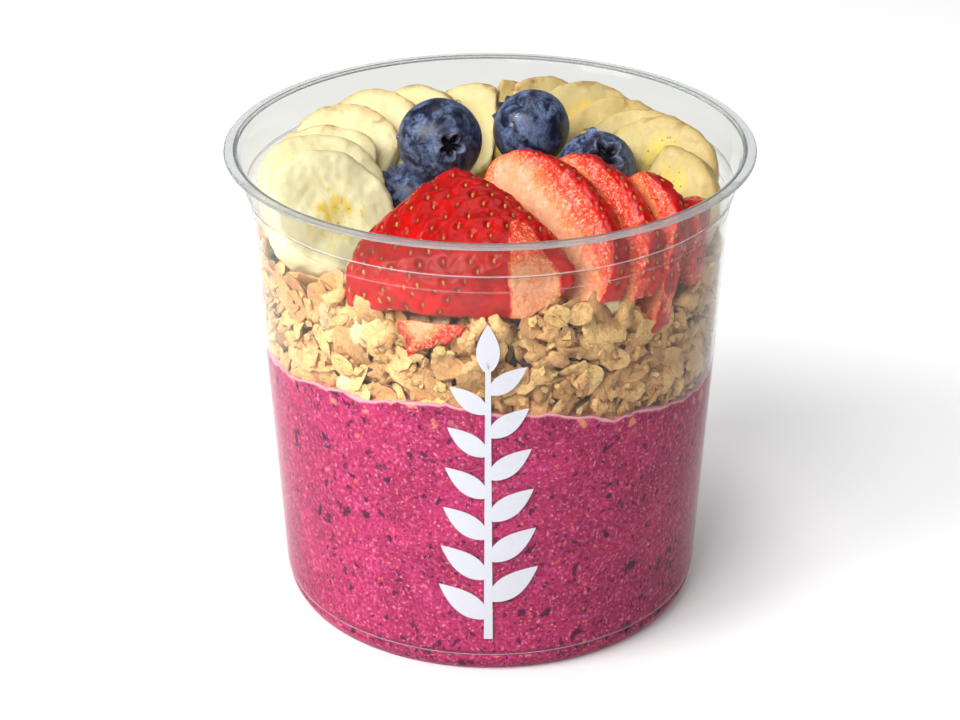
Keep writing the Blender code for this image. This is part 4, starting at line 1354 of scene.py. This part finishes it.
class ACAIBOWL_OT_blueberries(bpy.types.Operator):
    """Blueberries with their ragged crowns"""
    bl_idname = "acaibowl.blueberries"
    bl_label = "Blueberries"

    def execute(self, context):
        colours = context.scene.acai_bowl_colours
        material = blueberry_finish(colours.berry_skin, colours.berry_bloom)
        for i, (centre, radius, crown, crown_reach) in enumerate(BLUEBERRIES):
            deselect_all()
            bpy.ops.mesh.primitive_uv_sphere_add(segments=96, ring_count=72, radius=radius)
            piece = name_piece("blueberry_whole_%d" % (i + 1))
            self.shape(piece, radius, crown_reach, i)
            turn = UP.rotation_difference(Vector(crown).normalized())
            piece.rotation_mode = "QUATERNION"
            piece.rotation_quaternion = turn
            piece.location = centre
            apply_place(piece)
            smooth_shade(piece)
            dress(piece, material, "blueberry", "blueberry_%d" % (i + 1))
        return {"FINISHED"}

    def shape(self, piece, radius, reach, index):
        """A slightly flat ball with a star-shaped hollow at its crown, ringed by sepals."""
        points = points_of(piece)
        hollow = np.zeros(len(points))
        lip = np.zeros(len(points))
        for i, point in enumerate(points):
            place = Vector(point)
            polar = math.acos(max(-1.0, min(1.0, place.z / radius)))
            angle = math.atan2(place.y, place.x)
            ragged = 0.045 * noise.noise(Vector((math.cos(angle), math.sin(angle), index)) * 2.5)
            star = reach * (0.92 + 0.24 * math.cos(CROWN_POINTS * angle + index)) + ragged
            inside = smooth_step((star - polar) / CROWN_EDGE)
            ring = math.exp(-((polar - star - 0.05) / CROWN_EDGE) ** 2)
            sepal = 0.55 + 0.45 * math.cos(CROWN_POINTS * angle + index)
            place.z *= BERRY_FLATNESS
            place *= 1.0 + 0.012 * noise.noise(place / 0.004 + Vector((index, 0.0, 0.0)))
            place -= place.normalized() * (CROWN_DEPTH * inside)
            place.z += (0.0006 + 0.0028 * reach) * ring * sepal
            points[i] = place
            hollow[i] = inside
            lip[i] = ring
        move_points(piece, points)
        store(piece, "crown", hollow)
        store(piece, "crown_lip", lip)


class StrawberryForm:
    """The whole berry that a slice was cut from, to tell its skin from its flesh."""

    def __init__(self, crest, toe, facing, width, depth, outline):
        self.shoulder, self.bluntness = outline
        self.length = (Vector(toe) - Vector(crest)).length
        self.width = width
        self.depth = depth
        z_axis = (Vector(toe) - Vector(crest)).normalized()
        x_axis = Vector(facing)
        x_axis = (x_axis - z_axis * x_axis.dot(z_axis)).normalized()
        self.centre = 0.5 * (Vector(crest) + Vector(toe))
        self.turn = Matrix((x_axis, z_axis.cross(x_axis), z_axis)).transposed()

    def girth(self, share):
        share = np.clip(share, 0.0, 1.0)
        return np.maximum(0.0, np.sin(math.pi * share ** self.shoulder)) ** self.bluntness

    def local(self, points):
        return (points - np.array(self.centre)) @ np.array(self.turn)

    def reach(self, local):
        """How far out a place lies between the berry's axis, 0, and its skin, 1."""
        share = 0.5 - local[:, 2] / self.length
        girth = np.maximum(self.girth(share), 0.08)
        return np.sqrt((local[:, 0] / (0.5 * self.depth)) ** 2
                       + (local[:, 1] / (0.5 * self.width)) ** 2) / girth

    def skin_place(self, share, angle):
        girth = float(self.girth(share))
        local = Vector((0.5 * self.depth * girth * math.cos(angle),
                        0.5 * self.width * girth * math.sin(angle),
                        self.length * (0.5 - share)))
        return self.centre + self.turn @ local


def unpressed(points):
    """Where the points were before the wall pressed them in."""
    points = points.copy()
    reach = np.hypot(points[:, 0], points[:, 1])
    limit = np.array([room_radius(z) for z in points[:, 2]])
    start = limit - PRESS_DEPTH
    left = np.clip((limit - reach) / PRESS_DEPTH, 0.02, 1.0)
    free = np.where(reach > start, start - PRESS_DEPTH * np.log(left), reach)
    points[:, :2] *= (free / np.maximum(reach, 1e-6))[:, None]
    return points


class ACAIBOWL_OT_strawberries(bpy.types.Operator):
    """Fan of strawberry slices with their seeds"""
    bl_idname = "acaibowl.strawberries"
    bl_label = "Strawberry slices"

    def execute(self, context):
        sizes = context.scene.acai_bowl_sizes
        colours = context.scene.acai_bowl_colours
        material = strawberry_finish(colours.strawberry_skin, colours.strawberry_flesh)
        rng = random.Random(8)
        seed_places = []
        for i, (*facts, ripeness) in enumerate(STRAWBERRIES):
            node = "strawberry_slice_%d" % (i + 1)
            form = StrawberryForm(*facts)
            piece = solid_copy(node, "strawberry_cut_%d" % (i + 1))
            soften(piece, STRAWBERRY_VOXEL, 5)
            for size, strength in STRAWBERRY_RUFFLES:
                ruffle(piece, size, strength, i)
            own = self.find_seeds(piece, form, sizes.seed_spacing, rng)
            if i == 0:
                bare = self.in_stem_cut(np.array([seed[0] for seed in own]))
                own = [seed for seed, share in zip(own, bare) if share == 0.0]
            self.mark(piece, form, own, sizes.seed_length, ripeness)
            if i == 0:
                self.bare_stem_cut(piece)
            smooth_shade(piece)
            dress(piece, material, "strawberry", node)
            seed_places += own
        self.add_seeds(seed_places, sizes.seed_length, colours.seed, rng)
        return {"FINISHED"}

    def find_seeds(self, piece, form, spacing, rng):
        """Seeds in staggered rows over the skin that is left on a slice."""
        tree = search_tree(piece.data)
        found = []
        rows = int(form.length / (SEED_ROW_SHARE * spacing))
        for row in range(1, rows):
            share = row / rows
            girth = float(form.girth(share))
            around = math.pi * girth * (0.5 * form.width + 0.5 * form.depth)
            count = max(3, int(around / spacing))
            for i in range(count):
                angle = math.tau * (i + 0.5 * (row % 2)) / count + rng.uniform(-0.06, 0.06)
                goal = form.skin_place(share + rng.uniform(-0.006, 0.006), angle)
                reach = math.hypot(goal.x, goal.y)
                limit = room_radius(goal.z)
                start = limit - PRESS_DEPTH
                if reach > start:
                    pressed = limit - PRESS_DEPTH * math.exp(-(reach - start) / PRESS_DEPTH)
                    goal.xy *= pressed / reach
                near, normal, _, distance = tree.find_nearest(goal)
                if near is None or distance > SEED_NEARNESS:
                    continue
                along = form.turn.col[2] - normal * form.turn.col[2].dot(normal)
                if along.length > 0.2:
                    found.append((near, normal, along.normalized()))
        return found

    def mark(self, piece, form, seeds, seed_length, ripeness):
        """Sink a pit round each seed, and store how far out each point lies."""
        points = points_of(piece)
        normals = normals_of(piece)
        free = form.local(unpressed(points))
        pit = np.zeros(len(points))
        rise = np.zeros(len(points))
        for place, _, along in seeds:
            away = points - np.array(place)
            down = away @ np.array(along)
            apart = np.sqrt(np.maximum(0.0, (away ** 2).sum(axis=1) - 0.55 * down ** 2))
            pit = np.maximum(pit, np.exp(-(apart / (0.52 * seed_length)) ** 2))
            rise = np.maximum(rise, np.exp(-((apart - 1.05 * seed_length) / (0.35 * seed_length)) ** 2))
        move_points(piece, points - normals * (PIT_DEPTH * pit - PIT_EDGE * rise)[:, None])
        store(piece, "reach", np.minimum(form.reach(free), 1.05))
        store(piece, "berry_place", free / form.length)
        store(piece, "pit", pit)
        side = np.maximum(0.0, -free[:, 1] / (0.5 * form.width))
        store(piece, "ripe", ripeness + RIPER_SIDE * side)

    def in_stem_cut(self, points):
        """How far inside the first slice's cut at the stem each point lies, from 0 to 1."""
        places, heights = zip(*STEM_CUT_RIGHT)
        right = np.interp(points[:, 2], heights, places)
        ragged = np.array([STEM_CUT_RAGGED * noise.noise(Vector(p) / 0.0025) for p in points])
        inside = np.minimum(points[:, 0] - STEM_CUT_LEFT + ragged, right - points[:, 0]) / STEM_CUT_EDGE
        return np.clip(inside, 0.0, 1.0) * (points[:, 1] < STEM_CUT_BACK)

    def bare_stem_cut(self, piece):
        """Skin all over the first slice, but for the cut at its stem."""
        points = points_of(piece)
        inside = self.in_stem_cut(points)
        redder = 0.40 * np.clip((points[:, 2] - STEM_CUT_RED) / 0.003, 0.0, 1.0)
        reach = 1.0 - (1.0 - STEM_CUT_REACH - redder) * inside
        piece.data.attributes["reach"].data.foreach_set("value", reach.astype(np.float32))

    def add_seeds(self, places, length, colour, rng):
        deselect_all()
        bpy.ops.mesh.primitive_uv_sphere_add(segments=8, ring_count=6, radius=0.5)
        seed = name_piece("seed")
        points = points_of(seed)
        taper = 0.62 - 0.55 * points[:, 0]
        points = points * np.array((length, SEED_WIDTH_SHARE * length, SEED_THICKNESS_SHARE * length))
        points[:, 1] *= taper * 1.1
        points[:, 2] *= taper * 1.1
        move_points(seed, points)
        matrices = []
        for place, normal, along in places:
            side = normal.cross(along)
            turn = Matrix((along, side, normal)).transposed().to_4x4()
            size = Matrix.Scale(rng.uniform(0.85, 1.12), 4)
            matrices.append((Matrix.Translation(place - normal * SEED_SINK) @ turn @ size, False))
        piece = scattered("strawberry_seeds", [seed], matrices, rng)
        dress(piece, seed_finish(colour), "strawberry")


class ACAIBOWL_OT_drops(bpy.types.Operator):
    """Water drops on the fruit"""
    bl_idname = "acaibowl.drops"
    bl_label = "Water drops"

    def execute(self, context):
        fruit = [o for o in bpy.data.objects
                 if o.name.startswith(("banana_flesh", "blueberry_whole", "strawberry_cut"))]
        trees = [search_tree(o.data) for o in fruit]
        drops = []
        for place, radius in DROPS:
            hits = [tree.find_nearest(Vector(place)) for tree in trees]
            near, normal, _, _ = min((h for h in hits if h[0] is not None), key=lambda h: h[3])
            deselect_all()
            bpy.ops.mesh.primitive_uv_sphere_add(segments=24, ring_count=16, radius=radius)
            drop = name_piece("drop")
            drop.rotation_mode = "QUATERNION"
            drop.rotation_quaternion = UP.rotation_difference(normal)
            drop.scale = (1.0, 1.0, DROP_FLATNESS)
            drop.location = near + normal * DROP_LIFT_SHARE * radius
            apply_place(drop)
            drops.append(drop)
        piece = joined(drops, "water_drops")
        smooth_shade(piece)
        dress(piece, water_finish(), "clear_cup")
        return {"FINISHED"}


OPERATORS = (
    ACAIBOWL_OT_stage, ACAIBOWL_OT_cup, ACAIBOWL_OT_lines, ACAIBOWL_OT_print, ACAIBOWL_OT_puree,
    ACAIBOWL_OT_granola, ACAIBOWL_OT_bananas, ACAIBOWL_OT_blueberries, ACAIBOWL_OT_strawberries,
    ACAIBOWL_OT_drops,
)


class ACAIBOWL_PT_panel(bpy.types.Panel):
    """Lists the bowl's pieces"""
    bl_label = "Acai Bowl"
    bl_idname = "ACAIBOWL_PT_panel"
    bl_space_type = "VIEW_3D"
    bl_region_type = "UI"
    bl_category = "Acai Bowl"

    def draw(self, context):
        for group in (context.scene.acai_bowl_sizes, context.scene.acai_bowl_colours):
            for key in group.__annotations__:
                self.layout.prop(group, key)
        for operator in OPERATORS:
            self.layout.operator(operator.bl_idname)


CLASSES = (AcaiBowlSizes, AcaiBowlColours, *OPERATORS, ACAIBOWL_PT_panel)


def register():
    for cls in CLASSES:
        bpy.utils.register_class(cls)
    bpy.types.Scene.acai_bowl_sizes = bpy.props.PointerProperty(type=AcaiBowlSizes)
    bpy.types.Scene.acai_bowl_colours = bpy.props.PointerProperty(type=AcaiBowlColours)


def unregister():
    del bpy.types.Scene.acai_bowl_colours
    del bpy.types.Scene.acai_bowl_sizes
    for cls in reversed(CLASSES):
        bpy.utils.unregister_class(cls)


def main():
    register()
    bpy.ops.acaibowl.stage()
    bpy.ops.acaibowl.cup()
    bpy.ops.acaibowl.lines()
    bpy.ops.acaibowl.print()
    bpy.ops.acaibowl.puree()
    bpy.ops.acaibowl.granola()
    bpy.ops.acaibowl.bananas()
    bpy.ops.acaibowl.blueberries()
    bpy.ops.acaibowl.strawberries()
    bpy.ops.acaibowl.drops()


if __name__ == "__main__":
    main()
